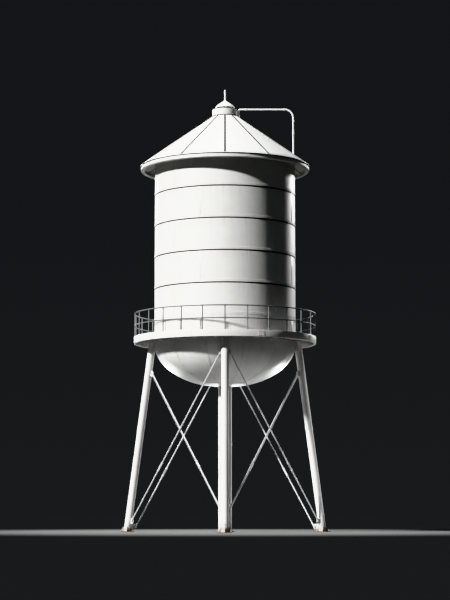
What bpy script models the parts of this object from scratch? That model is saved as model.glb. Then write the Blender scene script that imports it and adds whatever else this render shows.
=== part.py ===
"""Water tower: a round steel tank with a conical roof and a bowl bottom, on four raking pipe legs.

A railed balcony runs round the foot of the tank, tie rods cross between the legs, and a riser pipe
stands on the axis. Metres, +Z up. The origin is on the ground, on the tower's axis.
The front of the tower is -Y, and the roof pipe lies over +X.
"""

import math

import bmesh
import bpy
from mathutils import Matrix, Vector

# Common values
GAP = 0.0003
FACETS = 48

# Tank shell: courses of plate between the bowl and the roof
TANK_RADIUS = 3.165
TANK_PLATE = 0.010
KNUCKLE_Z = 8.35
FIRST_SEAM_Z = 9.40
COURSE_HEIGHT = 1.42
COURSE_COUNT = 6

# Bowl: half an ellipsoid, open at the bottom for the riser
BOWL_DEPTH = 1.91
BOWL_MOUTH_RADIUS = 0.288
BOWL_STEPS = 8

# Roof: a cone of plate whose drip edge hangs over a fascia ring
EAVE_RADIUS = 3.845
EAVE_TOP_Z = 16.395
ROOF_SLOPE = math.tan(math.radians(35.7))
ROOF_DROP = 0.015
ROOF_MOUTH_RADIUS = 0.30
FASCIA_RADIUS = 3.80
FASCIA_FOOT_Z = 16.205
FASCIA_PLATE = 0.020
FASCIA_LIP = 0.155

# Vent on the peak of the roof
VENT_RADIUS = 0.572
VENT_PLATE = 0.012
VENT_TOP_Z = 19.05
CAP_NECK_RADIUS = 0.40
CAP_NECK_HEIGHT = 0.10
CAP_TOP_Z = 19.49
CAP_PLATE = 0.012
CAP_CURVE = ((0.440, 0.000), (0.440, 0.025), (0.375, 0.112), (0.265, 0.195), (0.158, 0.262), (0.085, 0.303))
CAP_SEAT_RADIUS = 0.05
FINIAL_RADIUS = 0.038
FINIAL_TOP_Z = 20.0

# Roof pipe, from beside the vent to the lower roof
PIPE_RADIUS = 0.037
PIPE_NEAR_X = 0.630
PIPE_FAR_X = 3.100
PIPE_TOP_Z = 19.085
PIPE_NEAR_BEND = 0.06
PIPE_FAR_BEND = 0.38
PIPE_JOINT_X = 0.95

# Balcony: a deck of plate inside a channel girder
BALCONY_RADIUS = 4.085
GIRDER_TOP_Z = 8.66
GIRDER_DEPTH = 0.30
GIRDER_FLANGE = 0.10
BALCONY_PLATE = 0.012

# Railing: panels round the balcony, from the front one towards the right, with their posts
RAIL_RING_RADIUS = 4.05
RAIL_HEIGHT = 1.065
MID_RAIL_HEIGHT = 0.49
RAIL_TUBE_RADIUS = 0.027
POST_RADIUS = 0.024
RAIL_PANELS = {
    "front": 3,
    "front_right": 3,
    "right": 4,
    "back_right": 3,
    "back": 3,
    "back_left": 3,
    "left": 4,
    "front_left": 3,
}
POST_STEP = math.tau / sum(RAIL_PANELS.values())

# Legs: pipes that rake outward to the ground
LEG_RADIUS = 0.162
LEG_WALL = 0.012
LEG_SIDES = 20
LEG_FOOT_X = 4.342
LEG_RAKE = 0.1293
BASE_PLATE_SIDE = 0.62
BASE_PLATE_THICKNESS = 0.03

# Tie rods and the gusset plates that they hang on
ROD_RADIUS = 0.028
ROD_SIDES = 10
ROD_END = 0.04
GUSSET_THICKNESS = 0.014
GUSSET_HALF_HEIGHT = 0.12
GUSSET_EDGE = 0.085
PIN_REACH = 0.235
FOOT_PIN_REACH = 0.44

# The upper and the lower pin, each by its height and its distance from the leg's axis: on the
# front and back legs, and on the side legs, whose lower pins differ from panel to panel
END_LEG_PINS = ((7.78, PIN_REACH), (0.95, PIN_REACH))
SIDE_LEG_PINS = {
    "front": ((7.05, PIN_REACH), (0.50, PIN_REACH)),
    "back": ((7.05, PIN_REACH), (0.27, FOOT_PIN_REACH)),
}

# Riser pipe on the axis
RISER_RADIUS = 0.30
RISER_WALL = 0.012
RISER_SIDES = 32
RISER_BASE_RADIUS = 0.45

# Paint: colour, roughness and metallic value
WHITE_PAINT = ((0.83, 0.84, 0.83), 0.42, 0.0)
LIGHT_GREY_PAINT = ((0.66, 0.67, 0.67), 0.42, 0.2)
GREY_ZINC = ((0.20, 0.205, 0.21), 0.46, 0.3)
DECK_GREY = ((0.45, 0.46, 0.46), 0.60, 0.0)
BROWN_STEEL = ((0.20, 0.16, 0.13), 0.70, 0.3)

# Sides of the tower, as turns about +Z from the right-hand side
SIDES = {"right": 0, "back": 90, "left": 180, "front": 270}
CORNERS = {"back_right": 45, "back_left": 135, "front_left": 225, "front_right": 315}


def roof_z(radius):
    """Height of the roof's upper face at this distance from the axis."""
    return EAVE_TOP_Z + (EAVE_RADIUS - radius) * ROOF_SLOPE


def leg_x(height):
    """Distance of a leg's axis from the tower's axis at this height."""
    return LEG_FOOT_X - LEG_RAKE * height


def clear_scene():
    for item in list(bpy.data.objects):
        bpy.data.objects.remove(item)


def paint(name, finish):
    colour, roughness, metallic = finish
    material = bpy.data.materials.new(name)
    material.use_nodes = True
    shader = material.node_tree.nodes["Principled BSDF"]
    shader.inputs["Base Color"].default_value = (*colour, 1)
    shader.inputs["Roughness"].default_value = roughness
    shader.inputs["Metallic"].default_value = metallic
    return material


def mesh_of(bm, name):
    bmesh.ops.recalc_face_normals(bm, faces=bm.faces)
    mesh = bpy.data.meshes.new(name)
    bm.to_mesh(mesh)
    bm.free()
    return mesh


def add_piece(name, mesh, finish=WHITE_PAINT, turn=0.0):
    """Puts one named piece of the tower in the scene, turned about the axis by so many degrees."""
    mesh.shade_smooth()
    mesh.set_sharp_from_angle(angle=math.radians(32))
    piece = bpy.data.objects.new(name, mesh)
    piece.rotation_euler.z = math.radians(turn)
    bpy.context.scene.collection.objects.link(piece)
    if not mesh.materials:
        mesh.materials.append(None)
    piece.material_slots[0].link = "OBJECT"
    piece.material_slots[0].material = paint(name, finish)
    return piece


def helper(name, mesh):
    """A working shape that only Boolean steps use."""
    shape = bpy.data.objects.new(name, mesh)
    shape.hide_render = True
    shape.display_type = "WIRE"
    bpy.context.scene.collection.objects.link(shape)
    return shape


def combine(mesh, others, operation):
    """The mesh joined with the others, or cut by them, as one new mesh."""
    body = helper("body", mesh)
    tools = [helper("tool", other) for other in others]
    for tool in tools:
        step = body.modifiers.new("step", "BOOLEAN")
        step.operation = operation
        step.solver = "EXACT"
        step.object = tool
    bpy.context.view_layer.update()
    graph = bpy.context.evaluated_depsgraph_get()
    result = bpy.data.meshes.new_from_object(body.evaluated_get(graph))
    for shape in [body, *tools]:
        bpy.data.objects.remove(shape)
    return result


def lathe(name, profile, sides=FACETS):
    """A closed profile of (radius, height) points turned about the tower's axis."""
    bm = bmesh.new()
    corners = [bm.verts.new((radius, 0, height)) for radius, height in profile]
    edges = []
    for first, second in zip(corners, corners[1:] + corners[:1]):
        if first.co.x > 0 or second.co.x > 0:
            edges.append(bm.edges.new((first, second)))
    bmesh.ops.spin(
        bm,
        geom=corners + edges,
        cent=(0, 0, 0),
        axis=(0, 0, 1),
        angle=math.tau,
        steps=sides,
        use_merge=True,
    )
    bmesh.ops.remove_doubles(bm, verts=bm.verts, dist=0.00005)
    return mesh_of(bm, name)


def slanted_pipe(name, low, high, radius, wall, sides):
    """A pipe between two level cuts, whose axis runs from one point to the other."""
    bm = bmesh.new()
    for ring_radius in (radius, radius - wall):
        place = Matrix.Translation(low)
        bmesh.ops.create_circle(bm, radius=ring_radius, segments=sides, matrix=place)
    bmesh.ops.bridge_loops(bm, edges=bm.edges)
    swept = bmesh.ops.extrude_face_region(bm, geom=bm.faces[:])
    moved = [item for item in swept["geom"] if isinstance(item, bmesh.types.BMVert)]
    bmesh.ops.translate(bm, verts=moved, vec=high - low)
    return mesh_of(bm, name)


def rod(name, low, high, radius, sides):
    """A solid round bar between two points."""
    bm = bmesh.new()
    along = high - low
    place = Matrix.Translation((low + high) / 2) @ along.to_track_quat("Z", "Y").to_matrix().to_4x4()
    bmesh.ops.create_cone(
        bm,
        cap_ends=True,
        segments=sides,
        radius1=radius,
        radius2=radius,
        depth=along.length,
        matrix=place,
    )
    return mesh_of(bm, name)


def block(name, centre, axes, sizes):
    """A box with its sides along the three axes given."""
    bm = bmesh.new()
    turn = Matrix(axes).transposed().to_4x4()
    place = Matrix.Translation(centre) @ turn @ Matrix.Diagonal((*sizes, 1))
    bmesh.ops.create_cube(bm, size=1, matrix=place)
    return mesh_of(bm, name)


def bent_pipe(name, route):
    """A round bar along a route of points in the plane of X and Z."""
    curve = bpy.data.curves.new(name, "CURVE")
    curve.dimensions = "3D"
    curve.bevel_depth = PIPE_RADIUS
    curve.bevel_resolution = 2
    curve.use_fill_caps = True
    spline = curve.splines.new("POLY")
    spline.points.add(len(route) - 1)
    for point, (x, z) in zip(spline.points, route):
        point.co = (x, 0, z, 1)
    shape = helper(name, curve)
    bpy.context.view_layer.update()
    graph = bpy.context.evaluated_depsgraph_get()
    bm = bmesh.new()
    bm.from_mesh(bpy.data.meshes.new_from_object(shape.evaluated_get(graph)))
    bpy.data.objects.remove(shape)
    bmesh.ops.remove_doubles(bm, verts=bm.verts, dist=0.00005)
    return mesh_of(bm, name)


def bend(centre_x, centre_z, radius, start, end, steps):
    """Points along an arc, in the plane of X and Z, from one angle in degrees to the other."""
    points = []
    for step in range(steps + 1):
        angle = math.radians(start + (end - start) * step / steps)
        points.append((centre_x + radius * math.cos(angle), centre_z + radius * math.sin(angle)))
    return points


def bowl_profile(growth):
    """The bowl's curve from its mouth up to the knuckle, grown outward by so much."""
    across = TANK_RADIUS + growth
    down = BOWL_DEPTH + growth
    start = math.asin(BOWL_MOUTH_RADIUS / TANK_RADIUS)
    points = []
    for step in range(BOWL_STEPS + 1):
        angle = start + (math.pi / 2 - start) * step / BOWL_STEPS
        points.append((across * math.sin(angle), KNUCKLE_Z - down * math.cos(angle)))
    return points


def course_limits(number):
    """Lowest and highest point of a shell course, counted from the bottom."""
    low = KNUCKLE_Z if number == 1 else FIRST_SEAM_Z + (number - 2) * COURSE_HEIGHT
    high = FIRST_SEAM_Z + (number - 1) * COURSE_HEIGHT
    if number == COURSE_COUNT:
        high = roof_z(TANK_RADIUS) - ROOF_DROP
    return low + GAP, high - GAP


def make_tank():
    inside = TANK_RADIUS - TANK_PLATE
    for number in range(1, COURSE_COUNT + 1):
        low, high = course_limits(number)
        profile = [(inside, low), (TANK_RADIUS, low), (TANK_RADIUS, high), (inside, high)]
        add_piece(f"shell_course_{number}", lathe("course", profile))
    outer = bowl_profile(0)
    inner = bowl_profile(-TANK_PLATE)
    add_piece("tank_bottom", lathe("bowl", outer + inner[::-1]))


def make_roof():
    profile = [
        (ROOF_MOUTH_RADIUS, roof_z(ROOF_MOUTH_RADIUS) - ROOF_DROP),
        (EAVE_RADIUS, EAVE_TOP_Z - ROOF_DROP),
        (EAVE_RADIUS, EAVE_TOP_Z),
        (ROOF_MOUTH_RADIUS, roof_z(ROOF_MOUTH_RADIUS)),
    ]
    add_piece("roof_cone", lathe("roof", profile))
    inside = FASCIA_RADIUS - FASCIA_PLATE
    lip = inside - FASCIA_LIP
    under_roof = ROOF_DROP + GAP
    profile = [
        (lip, FASCIA_FOOT_Z),
        (FASCIA_RADIUS, FASCIA_FOOT_Z),
        (FASCIA_RADIUS, roof_z(FASCIA_RADIUS) - under_roof),
        (inside, roof_z(inside) - under_roof),
        (inside, FASCIA_FOOT_Z + FASCIA_PLATE),
        (lip, FASCIA_FOOT_Z + FASCIA_PLATE),
    ]
    add_piece("roof_eave_ring", lathe("eave", profile))


def make_vent():
    inside = VENT_RADIUS - VENT_PLATE
    profile = [
        (inside, roof_z(inside) + GAP),
        (VENT_RADIUS, roof_z(VENT_RADIUS) + GAP),
        (VENT_RADIUS, VENT_TOP_Z),
        (0, VENT_TOP_Z),
        (0, VENT_TOP_Z - VENT_PLATE),
        (inside, VENT_TOP_Z - VENT_PLATE),
    ]
    add_piece("vent_collar", lathe("collar", profile))
    make_cap()
    foot = Vector((0, 0, CAP_TOP_Z + GAP))
    tip = Vector((0, 0, FINIAL_TOP_Z))
    add_piece("finial", rod("finial", foot, tip, FINIAL_RADIUS, 12))


def make_cap():
    """The cap: a short neck on the collar, then a rim and a bell curve up to the finial's seat."""
    seat = VENT_TOP_Z + GAP
    rim = VENT_TOP_Z + CAP_NECK_HEIGHT
    outer = [(radius, rim + height) for radius, height in CAP_CURVE]
    inner = [(radius - CAP_PLATE, rim + height) for radius, height in CAP_CURVE[2:]]
    bore = CAP_NECK_RADIUS - CAP_PLATE
    profile = [(bore, seat), (CAP_NECK_RADIUS, seat), (CAP_NECK_RADIUS, rim), *outer]
    profile += [(CAP_SEAT_RADIUS, CAP_TOP_Z), (0, CAP_TOP_Z), (0, inner[-1][1]), *inner[::-1], (bore, rim)]
    add_piece("vent_cap", lathe("cap", profile))


def make_roof_pipe():
    low = EAVE_TOP_Z - ROOF_DROP
    roof_block = [(0, low), (EAVE_RADIUS, low), (EAVE_RADIUS, EAVE_TOP_Z + GAP), (0, roof_z(0) + GAP)]
    under_pipe = lathe("roof block", roof_block)
    near_end = PIPE_JOINT_X
    far_end = PIPE_FAR_X - PIPE_FAR_BEND - 0.02
    near_arc = bend(PIPE_NEAR_X + PIPE_NEAR_BEND, PIPE_TOP_Z - PIPE_NEAR_BEND, PIPE_NEAR_BEND, 180, 90, 4)
    far_arc = bend(PIPE_FAR_X - PIPE_FAR_BEND, PIPE_TOP_Z - PIPE_FAR_BEND, PIPE_FAR_BEND, 90, 0, 6)
    near_route = [(PIPE_NEAR_X, roof_z(PIPE_NEAR_X) - 0.1), *near_arc, (near_end, PIPE_TOP_Z)]
    run_route = [(near_end + GAP, PIPE_TOP_Z), (far_end, PIPE_TOP_Z)]
    far_route = [(far_end + GAP, PIPE_TOP_Z), *far_arc, (PIPE_FAR_X, roof_z(PIPE_FAR_X) - 0.1)]
    near_mesh = combine(bent_pipe("near", near_route), [under_pipe], "DIFFERENCE")
    far_mesh = combine(bent_pipe("far", far_route), [under_pipe], "DIFFERENCE")
    add_piece("roof_pipe_inlet", near_mesh)
    add_piece("roof_pipe_run", bent_pipe("run", run_route))
    add_piece("roof_pipe_drop", far_mesh)


def make_balcony():
    foot = GIRDER_TOP_Z - GIRDER_DEPTH
    web = BALCONY_RADIUS - BALCONY_PLATE
    edge = BALCONY_RADIUS - GIRDER_FLANGE
    profile = [
        (edge, foot),
        (BALCONY_RADIUS, foot),
        (BALCONY_RADIUS, GIRDER_TOP_Z),
        (edge, GIRDER_TOP_Z),
        (edge, GIRDER_TOP_Z - BALCONY_PLATE),
        (web, GIRDER_TOP_Z - BALCONY_PLATE),
        (web, foot + BALCONY_PLATE),
        (edge, foot + BALCONY_PLATE),
    ]
    add_piece("balcony_girder", lathe("girder", profile))
    low, high = deck_limits()
    inside = TANK_RADIUS + GAP
    outside = web - GAP
    profile = [(inside, low), (outside, low), (outside, high), (inside, high)]
    add_piece("balcony_deck", lathe("deck", profile), DECK_GREY)


def deck_limits():
    """Lower and upper face of the balcony deck."""
    high = GIRDER_TOP_Z - BALCONY_PLATE - GAP
    return high - BALCONY_PLATE, high


def curved_rail(height, posts):
    """A round rail along a railing panel with so many posts, from end to end."""
    bm = bmesh.new()
    stop = posts * POST_STEP / 2 - GAP / RAIL_RING_RADIUS
    place = Matrix.Rotation(-stop, 4, "Z") @ Matrix.Translation((RAIL_RING_RADIUS, 0, height))
    place = place @ Matrix.Rotation(math.pi / 2, 4, "X")
    bmesh.ops.create_circle(bm, cap_ends=True, radius=RAIL_TUBE_RADIUS, segments=8, matrix=place)
    bmesh.ops.spin(
        bm,
        geom=bm.verts[:] + bm.edges[:] + bm.faces[:],
        cent=(0, 0, 0),
        axis=(0, 0, 1),
        angle=2 * stop,
        steps=2 * posts,
    )
    return mesh_of(bm, "rail")


def railing_panel(posts):
    """Top rail, middle rail and posts of one panel, about the +X direction."""
    foot = GIRDER_TOP_Z + GAP
    top = GIRDER_TOP_Z + RAIL_HEIGHT - RAIL_TUBE_RADIUS
    shapes = [curved_rail(GIRDER_TOP_Z + MID_RAIL_HEIGHT, posts)]
    for number in range(posts):
        angle = (number - (posts - 1) / 2) * POST_STEP
        x = RAIL_RING_RADIUS * math.cos(angle)
        y = RAIL_RING_RADIUS * math.sin(angle)
        shapes.append(rod("post", Vector((x, y, foot)), Vector((x, y, top)), POST_RADIUS, 8))
    return combine(curved_rail(top, posts), shapes, "UNION")


def make_railing():
    end = math.radians(SIDES["front"]) - RAIL_PANELS["front"] * POST_STEP / 2
    for side, posts in RAIL_PANELS.items():
        middle = end + posts * POST_STEP / 2
        add_piece(f"railing_{side}", railing_panel(posts), GREY_ZINC, math.degrees(middle))
        end = middle + posts * POST_STEP / 2


def brace_frame(side):
    """Axes of the bracing panel on one side of the right-hand leg.

    Gives the direction along the leg, the one from the leg towards its neighbour,
    and the outward normal of the panel. The side is 1 for the back, -1 for the front.
    """
    leg = Vector((-LEG_RAKE, 0, 1)).normalized()
    neighbour = Vector((0, -side * LEG_RAKE, 1)).normalized()
    normal = leg.cross(neighbour).normalized()
    if normal.x < 0:
        normal.negate()
    across = normal.cross(leg)
    if across.x > 0:
        across.negate()
    return leg, across, normal


def pin_point(side, pin):
    """Where a tie rod's pin goes through the gusset plate on the right-hand leg."""
    height, reach = pin
    _, across, _ = brace_frame(side)
    return Vector((leg_x(height), 0, height)) + across * reach


def legs_beside(corner):
    """The two legs of the bracing panel at this corner, the second a quarter turn after the first."""
    ends = [(CORNERS[corner] + way) % 360 for way in (-45, 45)]
    return [leg for end in ends for leg, turn in SIDES.items() if turn == end]


def leg_pins(leg, corner):
    """Upper and lower pin on the gusset plates of this leg that face this corner."""
    if leg in ("front", "back"):
        return END_LEG_PINS
    return SIDE_LEG_PINS[corner.split("_")[0]]


def rod_pins(corner, face):
    """The two pins of a rod, one on each of the panel's legs.

    The outer rod climbs to the front leg in the front panels, and to the side leg in the back ones.
    """
    climbs_to_end = (face > 0) == corner.startswith("front")
    pins = []
    for leg in legs_beside(corner):
        upper, lower = leg_pins(leg, corner)
        pins.append(upper if (leg in ("front", "back")) == climbs_to_end else lower)
    return pins


def gussets(leg):
    """The four gusset plates of one leg, set out as on the right-hand leg."""
    start = LEG_RADIUS - LEG_WALL / 2
    plates = []
    for corner in CORNERS:
        if leg not in legs_beside(corner):
            continue
        side = 1 if legs_beside(corner)[0] == leg else -1
        along, across, normal = brace_frame(side)
        for height, reach in leg_pins(leg, corner):
            tip = reach + GUSSET_EDGE
            sizes = (tip - start, 2 * GUSSET_HALF_HEIGHT, GUSSET_THICKNESS)
            middle = Vector((leg_x(height), 0, height)) + across * (start + tip) / 2
            plates.append(block("gusset", middle, (across, along, normal), sizes))
    return plates


def make_legs():
    top = deck_limits()[0] - GAP
    foot = BASE_PLATE_THICKNESS + GAP
    low = Vector((leg_x(foot), 0, foot))
    high = Vector((leg_x(top), 0, top))
    curve = bowl_profile(GAP)
    above = GIRDER_TOP_Z + GIRDER_DEPTH
    outline = [(0, curve[0][1]), *curve, (TANK_RADIUS + GAP, above), (0, above)]
    tank_block = lathe("tank block", outline)
    plate_middle = Vector((LEG_FOOT_X, 0, BASE_PLATE_THICKNESS / 2))
    plate_sizes = (BASE_PLATE_SIDE, BASE_PLATE_SIDE, BASE_PLATE_THICKNESS)
    plate = block("base plate", plate_middle, Matrix.Identity(3), plate_sizes)
    for side, turn in SIDES.items():
        bare = slanted_pipe("leg", low, high, LEG_RADIUS, LEG_WALL, LEG_SIDES)
        braced = combine(bare, gussets(side), "UNION")
        add_piece(f"leg_{side}", combine(braced, [tank_block], "DIFFERENCE"), turn=turn)
        add_piece(f"base_plate_{side}", plate, BROWN_STEEL, turn)


def tie_rod(corner, face):
    """A rod across one panel, on its outer face (1) or its inner face (-1).

    It is set out in the back right panel's place, and turned from there to its own corner.
    """
    first_pin, second_pin = rod_pins(corner, face)
    offset = face * (GUSSET_THICKNESS / 2 + ROD_RADIUS + GAP)
    quarter_turn = Matrix.Rotation(math.pi / 2, 3, "Z")
    first = pin_point(1, first_pin) + brace_frame(1)[2] * offset
    second = quarter_turn @ (pin_point(-1, second_pin) + brace_frame(-1)[2] * offset)
    along = (second - first).normalized()
    return rod("rod", first - along * ROD_END, second + along * ROD_END, ROD_RADIUS, ROD_SIDES)


def make_braces():
    for corner, corner_turn in CORNERS.items():
        turn = corner_turn - CORNERS["back_right"]
        add_piece(f"tie_rod_{corner}_outer", tie_rod(corner, 1), LIGHT_GREY_PAINT, turn)
        add_piece(f"tie_rod_{corner}_inner", tie_rod(corner, -1), LIGHT_GREY_PAINT, turn)


def make_riser():
    foot = BASE_PLATE_THICKNESS
    top = bowl_profile(0)[0][1] - GAP
    low = Vector((0, 0, foot + GAP))
    high = Vector((0, 0, top))
    add_piece("riser_pipe", slanted_pipe("riser", low, high, RISER_RADIUS, RISER_WALL, RISER_SIDES))
    profile = [(0, 0), (RISER_BASE_RADIUS, 0), (RISER_BASE_RADIUS, foot), (0, foot)]
    add_piece("riser_base", lathe("riser base", profile, RISER_SIDES), BROWN_STEEL)


clear_scene()
make_tank()
make_roof()
make_vent()
make_roof_pipe()
make_balcony()
make_railing()
make_legs()
make_braces()
make_riser()
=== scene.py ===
import math

import bmesh
import bpy
import numpy as np
from mathutils import Matrix, Vector


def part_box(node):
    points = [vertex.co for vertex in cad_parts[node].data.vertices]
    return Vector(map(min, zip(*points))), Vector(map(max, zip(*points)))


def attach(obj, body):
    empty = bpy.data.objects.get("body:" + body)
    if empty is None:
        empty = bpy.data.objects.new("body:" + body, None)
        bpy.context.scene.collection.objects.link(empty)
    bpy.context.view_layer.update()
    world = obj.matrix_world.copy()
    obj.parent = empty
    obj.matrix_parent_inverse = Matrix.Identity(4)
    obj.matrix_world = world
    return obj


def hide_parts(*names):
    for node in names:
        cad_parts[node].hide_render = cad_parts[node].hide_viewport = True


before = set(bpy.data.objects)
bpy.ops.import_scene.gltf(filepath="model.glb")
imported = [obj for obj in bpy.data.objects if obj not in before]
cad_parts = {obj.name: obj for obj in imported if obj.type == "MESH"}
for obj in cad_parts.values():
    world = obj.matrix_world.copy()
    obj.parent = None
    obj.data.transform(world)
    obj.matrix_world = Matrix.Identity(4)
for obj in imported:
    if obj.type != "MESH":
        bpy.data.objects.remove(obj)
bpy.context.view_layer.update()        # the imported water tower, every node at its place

# The tower stands on the axis, its front faces -Y, and the roof pipe lies over +X.
# Angles round the tower are in degrees from the front, growing towards the right-hand side.
tower = dict(
    tankRadius=3.165,
    plate=0.010,
    kneeZ=8.35,  # where the bowl meets the shell
    bowlDepth=1.91,
    firstSeamZ=9.40,
    courseRise=1.42,
    eaveRadius=3.845,
    eaveZ=16.395,
    roofSlope=math.tan(math.radians(35.7)),
    letIn=0.003,  # how deep a strap lies in the plate that carries it
    gap=0.0003,  # between pieces that touch
    fitGap=0.0005,  # where one piece is cut to fit another
    ringGap=0.001,  # between the tank and the angle rings round it
    sharpAngle=34,  # sharper edges than this aren't smoothed
)
sideTurns = dict(Right=0, Back=90, Left=180, Front=270)
cornerTurns = dict(BackRight=45, BackLeft=135, FrontLeft=225, FrontRight=315)
upward = (0, 0, 1)


def snake(name):
    # BackLeft becomes back_left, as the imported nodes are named
    return "".join("_" + letter.lower() if letter.isupper() else letter for letter in name)[1:]


def roofZ(radius):
    return tower["eaveZ"] + (tower["eaveRadius"] - radius) * tower["roofSlope"]


def ringSpot(radius, angle, height):
    turn = math.radians(angle)
    return Vector((radius * math.sin(turn), -radius * math.cos(turn), height))


def around(count, start=0.0):
    # even angles round the tower
    return [start + 360 * step / count for step in range(count)]


def between(low, high, steps):
    # both ends and the even steps between them
    return [low + (high - low) * step / steps for step in range(steps + 1)]


def profile(radius, height, steps):
    # the points of an outline, each by its steps out and up from one corner
    return [(radius + out, height + up) for out, up in steps]


def cornersOf(half):
    return [(-half, -half), (half, -half), (half, half), (-half, half)]


# shapes: each one is its points and its faces
def lofted(sections, loop=False):
    # skins a row of sections that have the same number of points, and caps the ends
    grid = np.array(sections, float)
    count, width = grid.shape[:2]
    faces = []
    for row in range(count if loop else count - 1):
        this = row * width
        after = (row + 1) % count * width
        for spot in range(width):
            beside = (spot + 1) % width
            faces.append((this + spot, this + beside, after + beside, after + spot))
    if not loop:
        last = (count - 1) * width
        faces.append(tuple(reversed(range(width))))
        faces.append(tuple(range(last, last + width)))
    return grid.reshape(-1, 3), faces


def turned(outline, steps=192, start=0.0, sweep=360.0):
    # a closed outline of (radius, height) points turned about the tower's axis
    whole = sweep >= 360
    angles = around(steps) if whole else between(start, start + sweep, steps)
    sections = [[ringSpot(radius, angle, height) for radius, height in outline] for angle in angles]
    return lofted(sections, whole)


def circleOf(sides):
    turns = [math.tau * side / sides for side in range(sides)]
    return [(math.cos(turn), math.sin(turn)) for turn in turns]


def lathed(rings, sides):
    # a solid round its own z, closed at both ends, from rings of (radius, height)
    circle = circleOf(sides)
    return lofted([[(radius * x, radius * y, height) for x, y in circle] for radius, height in rings])


def tubeAlong(path, radius, sides=16, loop=False):
    # a round bar along a path, with one radius or one for each point
    spots = [Vector(spot) for spot in path]
    count = len(spots)
    radii = radius if isinstance(radius, list) else [radius] * count
    circle = circleOf(sides)
    sections = []
    side = None
    for index, spot in enumerate(spots):
        before = spots[index - 1] if index > 0 or loop else spot
        after = spots[(index + 1) % count] if index + 1 < count or loop else spot
        along = (after - before).normalized()
        if side is None:
            side = along.orthogonal().normalized()
        side = (side - along * side.dot(along)).normalized()
        other = along.cross(side)
        sections.append([spot + (side * x + other * y) * radii[index] for x, y in circle])
    return lofted(sections, loop)


def shapeOf(bm):
    bm.verts.index_update()
    points = np.array([vert.co for vert in bm.verts], float)
    faces = [tuple(vert.index for vert in face.verts) for face in bm.faces]
    bm.free()
    return points, faces


def boxShape(size, edge=0.002):
    # a box about the origin with its edges eased
    bm = bmesh.new()
    bmesh.ops.create_cube(bm, size=1, matrix=Matrix.Diagonal((*size, 1)))
    bmesh.ops.bevel(bm, geom=bm.edges[:], offset=edge, segments=1, affect="EDGES", profile=0.5)
    return shapeOf(bm)


def insetOutline(outline, edge):
    # moves each corner of an outline, which runs anticlockwise, inward by the edge
    count = len(outline)
    moved = []
    for index in range(count):
        here = Vector(outline[index])
        back = (here - Vector(outline[index - 1])).normalized()
        ahead = (Vector(outline[(index + 1) % count]) - here).normalized()
        normalBack = Vector((-back.y, back.x))
        normalAhead = Vector((-ahead.y, ahead.x))
        middle = (normalBack + normalAhead).normalized()
        moved.append(tuple(here + middle * edge / max(0.2, middle.dot(normalBack))))
    return moved


def plateShape(outline, thick, edge=0.002):
    # a flat plate cut to an outline in x and y, about z = 0, with eased edges
    small = insetOutline(outline, edge)
    half = thick / 2
    loops = ((small, -half), (outline, edge - half), (outline, half - edge), (small, half))
    return lofted([[(x, y, height) for x, y in line] for line, height in loops])


def joined(shapes):
    points = []
    faces = []
    count = 0
    for shapePoints, shapeFaces in shapes:
        points.append(np.asarray(shapePoints, float))
        faces.extend(tuple(index + count for index in face) for face in shapeFaces)
        count += len(shapePoints)
    return np.concatenate(points), faces


def stamped(shape, places):
    # one copy of the shape at each place
    points, faces = shape
    full = np.c_[np.asarray(points, float), np.ones(len(points))].T
    return joined([((np.array(place) @ full).T[:, :3], faces) for place in places])


def placeOn(spot, out, up=upward):
    # a place whose z points out, whose y points up as near as it can, and whose x runs sideways
    z = Vector(out).normalized()
    x = Vector(up).cross(z).normalized()
    place = Matrix((x, z.cross(x), z)).transposed().to_4x4()
    place.translation = spot
    return place


def onWall(radius, angle, height):
    return placeOn(ringSpot(radius, angle, height), ringSpot(1, angle, 0))


def wallRing(radius, height, count, start=0.0):
    return [onWall(radius, angle, height) for angle in around(count, start)]


def onRoof(radius, angle, lift=0.0):
    out = ringSpot(tower["roofSlope"], angle, 1).normalized()
    down = ringSpot(1, angle, -tower["roofSlope"])
    return placeOn(ringSpot(radius, angle, roofZ(radius)) + out * lift, out, -down)


def turnedAbout(degrees):
    return Matrix.Rotation(math.radians(degrees), 4, "Z")


def arcLine(centre, radius, start, end, steps):
    # points on an arc, from one angle in degrees to the other
    turns = [math.radians(angle) for angle in between(start, end, steps)]
    return [(centre[0] + radius * math.cos(turn), centre[1] + radius * math.sin(turn)) for turn in turns]


def domeShape(radius, height, sides=8):
    # a rivet or screw head, sunk a little into what it holds
    return lathed([(radius, -0.004), (radius * 0.92, height * 0.40), (radius * 0.45, height)], sides)


def boltShape(size, washer):
    # a washer, a hexagon nut and the end of its stud, for a thread of this radius
    wide = size * 1.84
    nut = [(size * 1.72, washer), (wide, washer + size * 0.2), (wide, size * 1.65), (size * 1.6, size * 1.9)]
    return joined([
        lathed([(size * 2.15, -0.003), (size * 2.15, washer * 0.8), (size * 2.0, washer)], 18),
        lathed(nut, 6),
        lathed([(size, washer), (size, size * 2.5), (size * 0.8, size * 2.7)], 12),
    ])


def strapOutline(radius, proud, low, high, ease):
    # a strap on a round wall in section, with its outer corners eased
    out = radius + proud
    inside = radius - tower["letIn"]
    return [
        (inside, low), (out - 0.002, low), (out, low + ease),
        (out, high - ease), (out - 0.002, high), (inside, high),
    ]


def strapped(radius, strap, low, high, middles, rows):
    # upright straps on a round wall, and the places of their rivets
    half = math.degrees(strap["width"] / 2 / radius)
    outline = strapOutline(radius, strap["proud"], low, high, strap["ease"])
    plates = [turned(outline, strap["steps"], middle - half, 2 * half) for middle in middles]
    angles = [middle + half * across for middle in middles for across in strap["across"]]
    heights = between(low + strap["margin"], high - strap["margin"], rows)
    return plates, [onWall(radius + strap["seat"], angle, height) for angle in angles for height in heights]


def addObject(name, data):
    item = bpy.data.objects.new(name, data)
    bpy.context.scene.collection.objects.link(item)
    return item


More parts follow.
